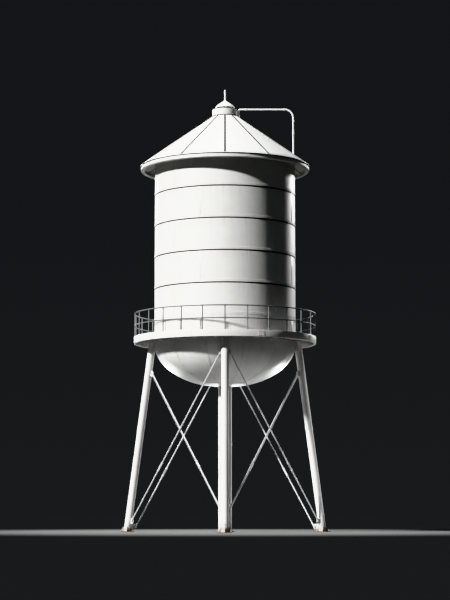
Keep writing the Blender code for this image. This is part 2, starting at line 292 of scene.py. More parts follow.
def solidOf(name, shape):
    # an object with this shape as its mesh, its faces turned outward
    points, faces = shape
    mesh = bpy.data.meshes.new(name)
    mesh.from_pydata(points.tolist(), [], faces)
    bm = bmesh.new()
    bm.from_mesh(mesh)
    bmesh.ops.recalc_face_normals(bm, faces=bm.faces)
    bm.to_mesh(mesh)
    bm.free()
    return addObject(name, mesh)


def makePiece(name, shapes, finish, *stands, slotName=None):
    # joins the shapes to one piece, which stands for the nodes named
    material, ownSlot = finishes[finish]
    slotName = slotName or ownSlot
    piece = solidOf(name, joined(shapes))
    piece.data.shade_smooth()
    piece.data.set_sharp_from_angle(angle=math.radians(tower["sharpAngle"]))
    piece.data.materials.append(material)
    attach(piece, "root")
    if stands:
        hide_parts(*stands)


def makeHeads(name, size, places, finish):
    # rivets or screws, in the paint of what they hold
    makePiece(name, [stamped(domeShape(*size), places)], finish)


def makeBolts(name, size, places, slotName):
    # zinc coated bolts; they are handed the slot name of what they hold, but no slot is set
    makePiece(name, [stamped(boltShape(*size), places)], "boltZinc", slotName=slotName)


# material helpers: each takes and gives sockets
def setInputs(tree, node, inputs):
    # a socket is linked, and anything else is set as the value
    for name, value in inputs.items():
        if isinstance(value, bpy.types.NodeSocket):
            tree.links.new(value, node.inputs[name])
        else:
            node.inputs[name].default_value = value


def addNode(tree, kind, inputs=None, **settings):
    node = tree.nodes.new(kind)
    for name, value in settings.items():
        setattr(node, name, value)
    setInputs(tree, node, inputs or {})
    return node


def mathOf(tree, operation, first, second=0.0):
    return addNode(tree, "ShaderNodeMath", {0: first, 1: second}, operation=operation).outputs[0]


def times(tree, first, second):
    return mathOf(tree, "MULTIPLY", first, second)


def plus(tree, first, second):
    return mathOf(tree, "ADD", first, second)


def vectorOf(tree, operation, inputs):
    return addNode(tree, "ShaderNodeVectorMath", inputs, operation=operation).outputs[0]


def mixOf(tree, amount, first, second):
    return addNode(tree, "ShaderNodeMix", {0: amount, 6: first, 7: second}, data_type="RGBA").outputs[2]


def rangeOf(tree, value, low, high, outLow=0.0, outHigh=1.0):
    inputs = {0: value, 1: low, 2: high, 3: outLow, 4: outHigh}
    return addNode(tree, "ShaderNodeMapRange", inputs, clamp=True).outputs[0]


def noiseOf(tree, position, scale, detail=3.0, rough=0.55):
    inputs = {"Vector": position, "Scale": scale, "Detail": detail, "Roughness": rough}
    return addNode(tree, "ShaderNodeTexNoise", inputs).outputs["Fac"]


def tallOf(tree, position):
    return addNode(tree, "ShaderNodeSeparateXYZ", {0: position}).outputs[2]


def bumpOf(tree, height, distance):
    inputs = {"Height": height, "Distance": distance, "Strength": 1.0}
    return addNode(tree, "ShaderNodeBump", inputs).outputs[0]


def newGroup(name, numbers, outputs):
    # a group that is given the position and these numbers
    group = bpy.data.node_groups.new(name, "ShaderNodeTree")
    group.interface.new_socket("Position", in_out="INPUT", socket_type="NodeSocketVector")
    for label, value in numbers.items():
        socket = group.interface.new_socket(label, in_out="INPUT", socket_type="NodeSocketFloat")
        socket.default_value = value
    for label in outputs:
        group.interface.new_socket(label, in_out="OUTPUT", socket_type="NodeSocketFloat")
    return group, group.nodes.new("NodeGroupInput").outputs, group.nodes.new("NodeGroupOutput")


def useGroup(tree, name, position, inputs=None):
    inputs = {"Position": position, **(inputs or {})}
    return addNode(tree, "ShaderNodeGroup", inputs, node_tree=bpy.data.node_groups[name]).outputs


def buildWeather():
    # large soft blotches, and small specks where the coat has failed
    numbers = {"Blotch Scale": 0.8, "Speck Scale": 24.0}
    group, given, leave = newGroup("weatherMask", numbers, ["Blotches", "Specks"])
    soft = noiseOf(group, given["Position"], given["Blotch Scale"], detail=5.0, rough=0.6)
    fine = noiseOf(group, given["Position"], given["Speck Scale"], detail=2.0, rough=0.5)
    patch = noiseOf(group, given["Position"], 1.7, detail=3.0, rough=0.6)
    specks = times(group, rangeOf(group, fine, 0.70, 0.76), rangeOf(group, patch, 0.52, 0.66))
    setInputs(group, leave, {"Blotches": rangeOf(group, soft, 0.40, 0.68), "Specks": specks})


def buildStreaks():
    # rain marks that run down a round wall, a cone or a bowl about the tower's axis
    group, given, leave = newGroup("rainStreaks", {"Count": 26.0, "Length": 0.45}, ["Streaks"])
    flat = vectorOf(group, "MULTIPLY", {0: given["Position"], 1: (1, 1, 0)})
    unit = vectorOf(group, "NORMALIZE", {0: flat})
    level = vectorOf(group, "SCALE", {0: unit, "Scale": given["Count"]})
    drop = times(group, tallOf(group, given["Position"]), given["Length"])
    down = addNode(group, "ShaderNodeCombineXYZ", {2: drop}).outputs[0]
    run = vectorOf(group, "ADD", {0: level, 1: down})
    thin = noiseOf(group, run, 1.0, detail=4.0, rough=0.62)
    wide = noiseOf(group, run, 0.22, detail=2.0, rough=0.5)
    lines = times(group, rangeOf(group, thin, 0.46, 0.74), rangeOf(group, wide, 0.36, 0.66))
    setInputs(group, leave, {"Streaks": lines})


def buildWear():
    # paint worn through on outer corners, broken up so that it isn't a clean line
    group, given, leave = newGroup("edgeWear", {"Low": 0.53, "High": 0.62}, ["Mask"])
    corner = addNode(group, "ShaderNodeNewGeometry").outputs["Pointiness"]
    edge = rangeOf(group, corner, given["Low"], given["High"])
    ragged = noiseOf(group, given["Position"], 14.0, detail=4.0, rough=0.65)
    setInputs(group, leave, {"Mask": times(group, edge, rangeOf(group, ragged, 0.46, 0.62))})


def buildSkin():
    # the fine relief of a brushed coat of paint
    group, given, leave = newGroup("paintSkin", {"Grain Scale": 130.0}, ["Height"])
    grain = noiseOf(group, given["Position"], given["Grain Scale"], detail=2.0, rough=0.5)
    strokes = vectorOf(group, "MULTIPLY", {0: given["Position"], 1: (22, 22, 3)})
    brush = noiseOf(group, strokes, 1.0, detail=3.0, rough=0.6)
    dents = noiseOf(group, given["Position"], 1.3, detail=1.0, rough=0.4)
    small = times(group, plus(group, grain, brush), 0.12)
    setInputs(group, leave, {"Height": plus(group, small, dents)})


buildWeather()
buildStreaks()
buildWear()
buildSkin()


def newMaterial(name, constants):
    material = bpy.data.materials.new(name)
    material.use_nodes = True
    tree = material.node_tree
    shader = tree.nodes["Principled BSDF"]
    setInputs(tree, shader, constants)
    position = addNode(tree, "ShaderNodeTexCoord").outputs["Object"]
    return material, tree, shader, position


paints = dict(
    tankPaint=dict(
        tone=(0.83, 0.83, 0.815, 1), faded=(0.76, 0.755, 0.73, 1), grime=(0.34, 0.32, 0.29, 1),
        streakCount=34.0, streakAmount=0.13, seamAmount=0.26, speckAmount=0.30, wearAmount=0.15,
        mudTop=0.0, rough=0.36, dent=0.006,
    ),
    roofPaint=dict(
        tone=(0.84, 0.84, 0.83, 1), faded=(0.77, 0.77, 0.75, 1), grime=(0.36, 0.35, 0.32, 1),
        streakCount=40.0, streakAmount=0.16, seamAmount=0.0, speckAmount=0.25, wearAmount=0.15,
        mudTop=0.0, rough=0.44, dent=0.004,
    ),
    framePaint=dict(
        tone=(0.83, 0.83, 0.82, 1), faded=(0.76, 0.755, 0.735, 1), grime=(0.33, 0.31, 0.28, 1),
        streakCount=60.0, streakAmount=0.12, seamAmount=0.0, speckAmount=0.40, wearAmount=0.25,
        mudTop=0.75, rough=0.40, dent=0.0015,
    ),
    fittingPaint=dict(
        tone=(0.82, 0.82, 0.81, 1), faded=(0.72, 0.72, 0.70, 1), grime=(0.32, 0.30, 0.27, 1),
        streakCount=60.0, streakAmount=0.10, seamAmount=0.0, speckAmount=0.35, wearAmount=0.25,
        mudTop=0.0, rough=0.40, dent=0.0006,
    ),
)
rustTone = (0.20, 0.085, 0.035, 1)
primerTone = (0.24, 0.13, 0.09, 1)
soilTone = (0.21, 0.17, 0.125, 1)
dustTone = (0.30, 0.28, 0.25, 1)


def makePaint(name):
    # white enamel that has stood in the weather
    look = paints[name]
    material, tree, shader, position = newMaterial(name, {"Coat Weight": 0.12, "Coat Roughness": 0.25})
    weather = useGroup(tree, "weatherMask", position)
    streaks = useGroup(tree, "rainStreaks", position, {"Count": look["streakCount"]})["Streaks"]
    wear = useGroup(tree, "edgeWear", position)["Mask"]
    skin = useGroup(tree, "paintSkin", position)["Height"]
    tall = tallOf(tree, position)
    colour = mixOf(tree, weather["Blotches"], look["tone"], look["faded"])
    dirt = times(tree, streaks, look["streakAmount"])
    if look["seamAmount"]:  # darker where rain drips off each seam
        above = mathOf(tree, "SUBTRACT", tall, tower["firstSeamZ"])
        courses = plus(tree, mathOf(tree, "DIVIDE", above, tower["courseRise"]), 4.0)
        under = rangeOf(tree, mathOf(tree, "FRACT", courses), 0.45, 1.0)
        held = times(tree, times(tree, under, under), look["seamAmount"])
        dirt = plus(tree, dirt, times(tree, held, rangeOf(tree, streaks, 0.0, 0.6, 0.15, 1.0)))
    colour = mixOf(tree, dirt, colour, look["grime"])
    rough = rangeOf(tree, weather["Blotches"], 0.0, 1.0, look["rough"], look["rough"] + 0.16)
    rough = plus(tree, rough, times(tree, dirt, 0.3))
    if look["mudTop"]:  # soil splashed up from the ground
        ragged = times(tree, noiseOf(tree, position, 5.0, detail=5.0, rough=0.7), look["mudTop"])
        splash = rangeOf(tree, mathOf(tree, "SUBTRACT", tall, ragged), -0.25, 0.15, 0.6, 0.0)
        colour = mixOf(tree, splash, colour, soilTone)
        rough = plus(tree, rough, times(tree, splash, 0.4))
    colour = mixOf(tree, times(tree, weather["Specks"], look["speckAmount"]), colour, rustTone)
    colour = mixOf(tree, times(tree, wear, look["wearAmount"]), colour, primerTone)
    bump = bumpOf(tree, skin, look["dent"])
    setInputs(tree, shader, {"Base Color": colour, "Roughness": rough, "Normal": bump})
    return material


zincs = dict(
    railZinc=dict(
        tone=(0.165, 0.17, 0.175, 1), pale=(0.225, 0.23, 0.235, 1),
        metal=0.25, rough=0.44, cell=70.0, dust=0.15,
    ),
    rodZinc=dict(
        tone=(0.60, 0.61, 0.61, 1), pale=(0.72, 0.73, 0.73, 1),
        metal=0.25, rough=0.42, cell=60.0, dust=0.25,
    ),
    deckZinc=dict(
        tone=(0.36, 0.365, 0.37, 1), pale=(0.50, 0.505, 0.51, 1),
        metal=0.60, rough=0.50, cell=26.0, dust=0.65,
    ),
    boltZinc=dict(
        tone=(0.42, 0.42, 0.415, 1), pale=(0.58, 0.58, 0.575, 1),
        metal=0.75, rough=0.38, cell=90.0, dust=0.35,
    ),
)


def makeZinc(name):
    # dipped zinc: crystals of two greys, dust in patches and a little rust
    look = zincs[name]
    material, tree, shader, position = newMaterial(name, {})
    cells = addNode(tree, "ShaderNodeTexVoronoi", {"Vector": position, "Scale": look["cell"]})
    crystal = addNode(tree, "ShaderNodeSeparateColor", {0: cells.outputs["Color"]}).outputs[0]
    weather = useGroup(tree, "weatherMask", position, {"Blotch Scale": 2.6, "Speck Scale": 40.0})
    wear = useGroup(tree, "edgeWear", position)["Mask"]
    dust = times(tree, weather["Blotches"], look["dust"])
    colour = mixOf(tree, crystal, look["tone"], look["pale"])
    colour = mixOf(tree, dust, colour, dustTone)
    colour = mixOf(tree, weather["Specks"], colour, rustTone)
    colour = mixOf(tree, times(tree, wear, 0.5), colour, look["pale"])
    rough = rangeOf(tree, crystal, 0.0, 1.0, look["rough"], look["rough"] + 0.1)
    relief = plus(tree, crystal, noiseOf(tree, position, 160.0))
    setInputs(tree, shader, {
        "Base Color": colour,
        "Metallic": rangeOf(tree, dust, 0.0, 0.7, look["metal"], 0.05),
        "Roughness": plus(tree, rough, dust),
        "Normal": bumpOf(tree, relief, 0.0003),
    })
    return material


# black compound, also used as painted shadow under the shell's laps and the drip edge
pitch = dict(tone=(0.010, 0.010, 0.011, 1), dusty=(0.034, 0.032, 0.030, 1), rough=0.70, gloss=0.22)


def makePitchAndShadow():
    # black caulking compound: trowelled, crazed and a little dusty; under the shell's laps and the drip edge
    # it also paints shadow
    material, tree, shader, position = newMaterial("seamPitchAndShadow", {"Specular IOR Level": pitch["gloss"]})
    dusty = useGroup(tree, "weatherMask", position, {"Blotch Scale": 6.0})["Blotches"]
    inputs = {"Vector": position, "Scale": 38.0}
    crazed = addNode(tree, "ShaderNodeTexVoronoi", inputs, feature="DISTANCE_TO_EDGE").outputs["Distance"]
    lumps = times(tree, noiseOf(tree, position, 30.0), 2.0)
    setInputs(tree, shader, {
        "Base Color": mixOf(tree, dusty, pitch["tone"], pitch["dusty"]),
        "Roughness": rangeOf(tree, dusty, 0.0, 1.0, pitch["rough"], 0.92),
        "Normal": bumpOf(tree, plus(tree, rangeOf(tree, crazed, 0.0, 0.06), lumps), 0.0015),
    })
    return material


oldSteel = dict(tone=(0.20, 0.18, 0.165, 1), rust=(0.17, 0.075, 0.035, 1), metal=0.55, rough=0.55)


def makeOldSteel():
    # bare foot plates gone brown, with soil washed over them
    material, tree, shader, position = newMaterial("footSteel", {})
    soil = useGroup(tree, "weatherMask", position, {"Blotch Scale": 5.0})["Blotches"]
    scale = noiseOf(tree, position, 34.0, detail=6.0, rough=0.7)
    rusty = rangeOf(tree, scale, 0.40, 0.62)
    colour = mixOf(tree, rusty, oldSteel["tone"], oldSteel["rust"])
    setInputs(tree, shader, {
        "Base Color": mixOf(tree, times(tree, soil, 0.6), colour, soilTone),
        "Metallic": rangeOf(tree, rusty, 0.0, 1.0, oldSteel["metal"], 0.05),
        "Roughness": rangeOf(tree, rusty, 0.0, 1.0, oldSteel["rough"], 0.88),
        "Normal": bumpOf(tree, scale, 0.002),
    })
    return material


# dark wire, partly painted shade for the gap under the vent's cap
screen = dict(tone=(0.030, 0.030, 0.032, 1), pale=(0.12, 0.12, 0.12, 1), rough=0.5, metal=0.6)


def makeScreenAndShade():
    # the dark woven wire of the vent's screen, also used as painted shade for the solid ring behind it
    material, tree, shader, position = newMaterial("ventWireAndShade", {})
    patches = noiseOf(tree, position, 20.0, detail=3.0, rough=0.6)
    setInputs(tree, shader, {
        "Base Color": mixOf(tree, rangeOf(tree, patches, 0.45, 0.75), screen["tone"], screen["pale"]),
        "Metallic": rangeOf(tree, patches, 0.3, 0.7, screen["metal"], 0.2),
        "Roughness": rangeOf(tree, patches, 0.3, 0.7, screen["rough"], 0.8),
        "Normal": bumpOf(tree, noiseOf(tree, position, 220.0), 0.0006),
    })
    return material


# each finish with its slot name; bolts are handed the slot name of what they hold, but no slot is set here
finishes = dict(
    tankPaint=(makePaint("tankPaint"), "tank_paint"),
    roofPaint=(makePaint("roofPaint"), "roof_paint"),
    framePaint=(makePaint("framePaint"), "frame_paint"),
    fittingPaint=(makePaint("fittingPaint"), "fitting_paint"),
    railZinc=(makeZinc("railZinc"), "rail_paint"),
    rodZinc=(makeZinc("rodZinc"), "rod_paint"),
    deckZinc=(makeZinc("deckZinc"), "deck_plate"),
    boltZinc=(makeZinc("boltZinc"), None),
    seamPitchAndShadow=(makePitchAndShadow(), "seam_caulk"),
    footSteel=(makeOldSteel(), "foot_steel"),
    ventWireAndShade=(makeScreenAndShade(), None),
)
print("materials: ready")

shell = dict(
    lapProud=0.008,  # each course laps over the one below
    lapRise=0.125,
    lap=((0.005, 0), (0.008, 0.003), (0.008, 0.120), (0.003, 0.125), (0, 0.126)),
    seamRise=0.050,  # black compound under each lap, which also paints the shadow under the lap's edge
    seam=(
        (-0.003, -0.050), (0.003, -0.050), (0.009, -0.042),
        (0.012, -0.025), (0.012, -0.001), (-0.003, -0.001),
    ),
    platesRound=4,
    strapTurns=(45, 70),  # in the even courses and in the odd ones
    strapGap=0.004,  # above and below the upright joint between two plates
    topBare=0.30,
    strap=dict(width=0.080, proud=0.004, ease=0.003, steps=4, seat=0.004, margin=0.04, across=(-0.5, 0.5)),
    rivet=(0.012, 0.010),
    rivetPitch=0.086,
    rivetRows=(0.035, 0.090),
)


def makeCourses():
    radius = tower["tankRadius"]
    inside = radius - tower["plate"]
    margins = 2 * shell["strap"]["margin"]
    count = int(math.tau * radius / shell["rivetPitch"])
    seams = []
    for number in range(1, 7):
        node = f"shell_course_{number}"
        low, high = (corner.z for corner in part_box(node))
        strapLow = low + shell["strapGap"]
        strapHigh = high - shell["strapGap"] - (shell["seamRise"] if number < 6 else shell["topBare"])
        foot = [(radius, low)]
        heads = []
        if number > 1:
            foot = profile(radius, low, shell["lap"])
            strapLow += shell["lapRise"]
            for row, height in enumerate(shell["rivetRows"]):
                heads += wallRing(radius + shell["lapProud"], low + height, count, 180 * row / count)
        if number > 2:  # the joint behind the rails is painted over
            # a black bead under the lap: real compound that also stands in for the lap's shadow
            seams.append(turned(profile(radius, low, shell["seam"])))
        rows = max(2, round((strapHigh - strapLow - margins) / shell["rivetPitch"]))
        middles = around(shell["platesRound"], shell["strapTurns"][number % 2])
        straps, places = strapped(radius, shell["strap"], strapLow, strapHigh, middles, rows)
        outline = [(inside, low), *foot, (radius, high), (inside, high)]
        makePiece(f"tankCourse{number}", [turned(outline)], "tankPaint", node)
        makePiece(f"plateStraps{number}", straps, "tankPaint")
        makeHeads(f"shellRivets{number}", shell["rivet"], heads + places, "tankPaint")
    makePiece("courseSeamsAndShadow", seams, "seamPitchAndShadow")


makeCourses()

kerb = dict(
    thick=0.008,
    outline=(
        (0, 0.0005), (0.068, 0.0005), (0.070, 0.002), (0.070, 0.006), (0.068, 0.008),
        (0.014, 0.008), (0.008, 0.014), (0.008, 0.068), (0.006, 0.070), (0, 0.070),
    ),
    bolts=48,
    bolt=(0.007, 0.003),  # radius of its thread, and thickness of its washer
    boltReach=0.045,
)


def makeKerb():
    # the angle ring that closes the deck against the tank
    radius = tower["tankRadius"] + tower["ringGap"]
    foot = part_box("balcony_deck")[1].z
    thick = kerb["thick"]
    first = 180 / kerb["bolts"]
    bolts = wallRing(radius + thick, foot + kerb["boltReach"], kerb["bolts"], first)
    for angle in around(kerb["bolts"], first):
        bolts.append(placeOn(ringSpot(radius + kerb["boltReach"], angle, foot + thick), upward, (0, 1, 0)))
    makePiece("deckKerb", [turned(profile(radius, foot, kerb["outline"]))], "framePaint")
    makeBolts("kerbBolts", kerb["bolt"], bolts, "rail_paint")


makeKerb()
print("tank shell: done")

bowl = dict(
    steps=160,
    rows=44,
    mouth=0.288,
    gores=12,
    goreWidth=0.085,
    goreProud=0.006,
    goreTop=86,  # degrees up the bowl
    firstGore=15,
    goreSteps=24,
    goreRivets=29,  # steps from the first rivet of a strap to the last
    goreMargins=(0.03, 0.02),  # from the strap's foot and top to them, in radians
    dishRadius=1.05,
    # the lapped ring round the dish at the bottom: radians along the bowl, and rise
    dishRing=((-0.018, -0.003), (-0.018, 0.009), (0, 0.010), (0.018, 0.009), (0.018, -0.003)),
    bandFoot=0.010,  # the band that joins the bowl to the shell, under the deck
    bandRise=0.12,
    bandProud=0.008,
    bandEase=0.003,
    bandRows=(0.035, 0.085),
    rivet=(0.012, 0.010),
    rivetPitch=0.092,
)


def bowlOut(turn):
    return Vector((math.sin(turn) / tower["tankRadius"], -math.cos(turn) / tower["bowlDepth"])).normalized()


def bowlSpot(turn, grow=0.0):
    # radius and height on the bowl, for an angle in radians from its lowest point
    across = tower["tankRadius"] * math.sin(turn)
    height = tower["kneeZ"] - tower["bowlDepth"] * math.cos(turn)
    out = bowlOut(turn)
    return across + out.x * grow, height + out.y * grow


def bowlCurve(rows, grow=0.0):
    # the bowl's side from its mouth to the knee
    first = math.asin(bowl["mouth"] / tower["tankRadius"])
    return [bowlSpot(turn, grow) for turn in between(first, math.pi / 2, rows)]


def bowlPlace(turn, angle, grow):
    radius, height = bowlSpot(turn, grow)
    out = bowlOut(turn)
    return placeOn(ringSpot(radius, angle, height), ringSpot(out.x, angle, out.y))


def makeBowl():
    outline = bowlCurve(bowl["rows"]) + bowlCurve(bowl["rows"], -tower["plate"])[::-1]
    makePiece("tankBowl", [turned(outline, bowl["steps"])], "tankPaint", "tank_bottom")
    dishTurn = math.asin(bowl["dishRadius"] / tower["tankRadius"])
    topTurn = math.radians(bowl["goreTop"])
    half = bowl["goreWidth"] / 2
    proud = bowl["goreProud"]
    letIn = tower["letIn"]
    strips = []
    heads = []
    footMargin, topMargin = bowl["goreMargins"]
    rivetTurns = between(dishTurn + footMargin, topTurn - topMargin, bowl["goreRivets"])
    for angle in around(bowl["gores"], bowl["firstGore"]):
        side = ringSpot(1, angle + 90, 0)
        sections = []
        for turn in between(dishTurn, topTurn, bowl["goreSteps"]):
            section = []
            for grow, reach in ((-letIn, -half), (proud, -half), (proud, half), (-letIn, half)):
                radius, height = bowlSpot(turn, grow)
                section.append(ringSpot(radius, angle, height) + side * reach)
            sections.append(section)
        strips.append(lofted(sections))
        for turn in rivetTurns:
            for reach in (-half / 2, half / 2):
                place = bowlPlace(turn, angle, proud)
                place.translation += side * reach
                heads.append(place)
    ring = [bowlSpot(dishTurn + turn, grow) for turn, grow in bowl["dishRing"]]
    strips.append(turned(ring, bowl["steps"]))
    count = int(math.tau * bowl["dishRadius"] / bowl["rivetPitch"])
    heads += [bowlPlace(dishTurn, angle, bowl["dishRing"][2][1]) for angle in around(count)]
    low = tower["kneeZ"] - bowl["bandFoot"]
    high = low + bowl["bandRise"]
    out = tower["tankRadius"] + bowl["bandProud"]
    band = strapOutline(tower["tankRadius"], bowl["bandProud"], low, high, bowl["bandEase"])
    strips.append(turned(band))
    count = int(math.tau * out / bowl["rivetPitch"])
    for row, height in enumerate(bowl["bandRows"]):
        heads += wallRing(out, low + height, count, 180 * row / count)
    makePiece("bowlStraps", strips, "tankPaint")
    makeHeads("bowlRivets", bowl["rivet"], heads, "tankPaint")


makeBowl()
print("bowl: done")

roof = dict(
    mouth=0.30,
    plate=0.015,
    edge=0.004,
    edgeUnder=0.003,
    panels=12,
    # each by its width, its foot and top above the roof's face, and the rise of its crown
    lap=(0.150, -0.002, 0.005, 0),  # folded joint between two roof panels
    strip=(0.080, 0.002, 0.008, 0.003),  # black compound on the joint
    crown=0.4,  # the crown's width, as a share of the whole
    jointTop=0.605,  # distance of the joint's ends from the axis
    jointFoot=3.836,
    stripShort=0.010,
    screw=(0.009, 0.006),
    firstScrew=0.080,
    screwPitch=0.150,
    screwReach=0.061,  # on both sides of the strip
)


def slopeBar(angle, near, far, width, low, high, crown):
    # a bar that lies down the roof's slope at this angle
    side = ringSpot(1, angle + 90, 0) * (width / 2)
    out = ringSpot(tower["roofSlope"], angle, 1).normalized()
    top = high + crown
    share = roof["crown"]
    corners = ((-1, low), (-1, high), (-share, top), (share, top), (1, high), (1, low))
    spots = [ringSpot(radius, angle, roofZ(radius)) for radius in (near, far)]
    return lofted([[spot + side * across + out * lift for across, lift in corners] for spot in spots])


def makeRoof():
    rim = tower["eaveRadius"]
    mouth = roof["mouth"]
    plate = roof["plate"]
    near = roof["jointTop"]
    far = roof["jointFoot"]
    edge = roof["edge"]
    under = roofZ(rim) - plate
    outline = [
        (mouth, roofZ(mouth) - plate), (rim - edge, under), (rim, under + roof["edgeUnder"]),
        (rim, roofZ(rim) - edge), (rim - edge, roofZ(rim - edge)), (mouth, roofZ(mouth)),
    ]
    laps = []
    strips = []
    screws = []
    reaches = [near + roof["firstScrew"] + step * roof["screwPitch"]
               for step in range(int((far - near) / roof["screwPitch"]))]
    for angle in around(roof["panels"]):
        side = ringSpot(1, angle + 90, 0) * roof["screwReach"]
        laps.append(slopeBar(angle, near, far, *roof["lap"]))
        strips.append(slopeBar(angle, near, far - roof["stripShort"], *roof["strip"]))
        for reach in reaches:
            for way in (-1, 1):
                place = onRoof(reach, angle, roof["lap"][2])
                place.translation += side * way
                screws.append(place)
    makePiece("roofSkin", [turned(outline)], "roofPaint", "roof_cone")
    makePiece("roofLaps", laps, "roofPaint")
    makePiece("roofSeams", strips, "seamPitchAndShadow")
    makeHeads("roofScrews", roof["screw"], screws, "roofPaint")


makeRoof()

eave = dict(
    radius=3.800,
    footZ=16.205,
    plate=0.020,
    lip=0.155,
    edge=0.024,
    drop=0.0153,  # from the roof's face to the top of the fascia
    splices=12,
    firstSplice=15,
    spliceFoot=0.030,
    spliceTop=0.006,  # below the closure strip
    strap=dict(width=0.17, proud=0.007, ease=0.002, steps=4, seat=0.006, margin=0.03, across=(-0.6, 0.6)),
    bolt=(0.011, 0.009, 10),
    # black closure strip between the fascia and the drip edge, which also paints the shadow under the drip
    # edge, each part in steps out and up
    sealRise=0.058,
    sealFoot=((-0.002, 0), (0.006, 0), (0.010, 0.005)),
    sealSide=((0.012, -0.012),),
    sealDrip=((0, -0.016),),
    sealBack=((-0.002, -0.001),),
    drip=0.020,
)


def makeEave():
    out = eave["radius"]
    inside = out - eave["plate"]
    foot = eave["footZ"]
    lip = inside - eave["lip"]
    edge = eave["edge"]
    top = roofZ(out) - eave["drop"]
    seal = top - eave["sealRise"]
    drip = out + eave["drip"]
    outline = [
        (lip, foot), *arcLine((out - edge, foot + edge), edge, -90, 0, 6), (out, top),
        (inside, roofZ(inside) - eave["drop"]), (inside, foot + eave["plate"]), (lip, foot + eave["plate"]),
    ]
    strip = [
        *profile(out, seal, eave["sealFoot"]), *profile(out, top, eave["sealSide"]),
        *profile(drip, roofZ(drip), eave["sealDrip"]), *profile(out, top, eave["sealBack"]),
    ]
    middles = around(eave["splices"], eave["firstSplice"])
    low = foot + eave["spliceFoot"]
    plates, bolts = strapped(out, eave["strap"], low, seal - eave["spliceTop"], middles, rows=1)
    makePiece("eaveRing", [turned(outline)], "roofPaint", "roof_eave_ring")
    # a real black seal that also stands in for the drip edge's shadow on the fascia
    makePiece("eaveSealAndShadow", [turned(strip)], "seamPitchAndShadow")
    makePiece("eaveSplices", plates, "roofPaint")
    makeHeads("eaveBolts", eave["bolt"], bolts, "roofPaint")


makeEave()

rafter = dict(
    count=24,
    depth=0.070,
    width=0.045,
    flange=0.006,
    near=3.172,
    far=3.776,
    drop=0.016,
    # the angle ring on the top of the shell that the rafters sit on
    ringDrop=0.175,
    ring=((0, -0.075), (0.008, -0.075), (0.008, -0.008), (0.075, -0.008), (0.075, 0), (0, 0)),
)


def makeRafters():
    # light channels that carry the roof's overhang from the top of the shell
    depth = rafter["depth"]
    width = rafter["width"]
    flange = rafter["flange"]
    channel = [
        (0, 0), (width, 0), (width, flange), (flange, flange),
        (flange, depth - flange), (width, depth - flange), (width, depth), (0, depth),
    ]
    up = Vector((0, 0, math.hypot(1, tower["roofSlope"])))
    bars = []
    for angle in around(rafter["count"], 180 / rafter["count"]):
        side = ringSpot(1, angle + 90, 0)
        sections = []
        for radius in (rafter["near"], rafter["far"]):
            spot = ringSpot(radius, angle, roofZ(radius) - rafter["drop"]) - up * depth
            sections.append([spot + side * across + up * tall for across, tall in channel])
        bars.append(lofted(sections))
    out = tower["tankRadius"] + tower["ringGap"]
    ring = profile(out, roofZ(out) - rafter["ringDrop"], rafter["ring"])
    makePiece("roofRafters", bars, "roofPaint")
    makePiece("shellTopAngle", [turned(ring)], "roofPaint")


makeRafters()
print("roof: done")

vent = dict(
    steps=96,
    radius=0.572,
    plate=0.012,
    hole=0.020,
    topZ=19.05,
    crown=0.004,
    rim=((0, -0.028), (0.001, -0.018), (0.005, -0.014), (0.005, -0.005), (0, 0)),
    # black compound laid on the roof round the drum: its outer edge, and its upper one at the drum
    skirtReach=0.062,
    skirtOut=((0, -0.002), (0, 0.004), (-0.006, 0.012)),
    skirtUp=((0.008, 0.012), (-0.002, 0.018), (-0.002, -0.002)),
    rivet=(0.008, 0.006),
    rivets=48,
    rivetFoot=0.050,
    rivetTop=0.048,
)


def smoothLine(points, steps):
    # a smooth line through all the points
    line = []
    spots = [Vector(point) for point in points]
    spots = [spots[0] * 2 - spots[1], *spots, spots[-1] * 2 - spots[-2]]
    for index in range(1, len(spots) - 2):
        before, near, far, after = spots[index - 1:index + 3]
        bend = 2 * before - 5 * near + 4 * far - after
        twist = 3 * near - before - 3 * far + after
        for step in range(steps):
            part = step / steps
            spot = 0.5 * (2 * near + (far - before) * part + bend * part ** 2 + twist * part ** 3)
            line.append(tuple(spot))
    line.append(tuple(spots[-2]))
    return line


def makeVent():
    radius = vent["radius"]
    inside = radius - vent["plate"]
    hole = vent["hole"]
    top = vent["topZ"]
    under = top - vent["plate"]
    foot = roofZ(radius)
    reach = radius + vent["skirtReach"]
    outline = [
        (inside, roofZ(inside)), (radius, foot), *profile(radius, top, vent["rim"]),
        (hole, top + vent["crown"]), (hole, under), (inside, under),
    ]
    skirt = profile(reach, roofZ(reach), vent["skirtOut"]) + profile(radius, foot, vent["skirtUp"])
    rows = (foot + vent["rivetFoot"], top - vent["rivetTop"])
    heads = [place for height in rows for place in wallRing(radius, height, vent["rivets"])]
    makePiece("ventDrum", [turned(outline, vent["steps"])], "roofPaint", "vent_collar")
    makePiece("ventSkirt", [turned(skirt, vent["steps"])], "seamPitchAndShadow")
    makeHeads("ventRivets", vent["rivet"], heads, "roofPaint")


cap = dict(
    neckTop=19.15,
    plate=0.012,
    topZ=19.49,
    lipReach=0.428,  # the rolled rim
    lipRise=0.006,
    lipRadius=0.012,
    curve=(
        (0.440, 0.012), (0.430, 0.040), (0.402, 0.080), (0.354, 0.127), (0.294, 0.174),
        (0.226, 0.220), (0.158, 0.264), (0.100, 0.302), (0.064, 0.328),
    ),
    crown=((0.060, -0.004), (0.052, 0), (0.020, 0)),
    insideDrop=0.006,
    # a screen of upright wires round the neck, with a hoop above and below, and a solid dark ring behind the
    # wires as painted shade under the cap
    neck=0.400,
    wires=120,
    wireRadius=0.0035,
    wireFoot=0.005,  # above the drum
    wireTop=0.020,  # above the cap's rim
    hoopRadius=0.006,
    hoopInset=0.004,
    core=(0.370, 0.392),
    finialFoot=((0.064, 0), (0.064, 0.012), (0.054, 0.020), (0.044, 0.034), (0.038, 0.060)),
    finialTip=((0.036, -0.060), (0.032, -0.025), (0.022, -0.007), (0.008, 0)),
)


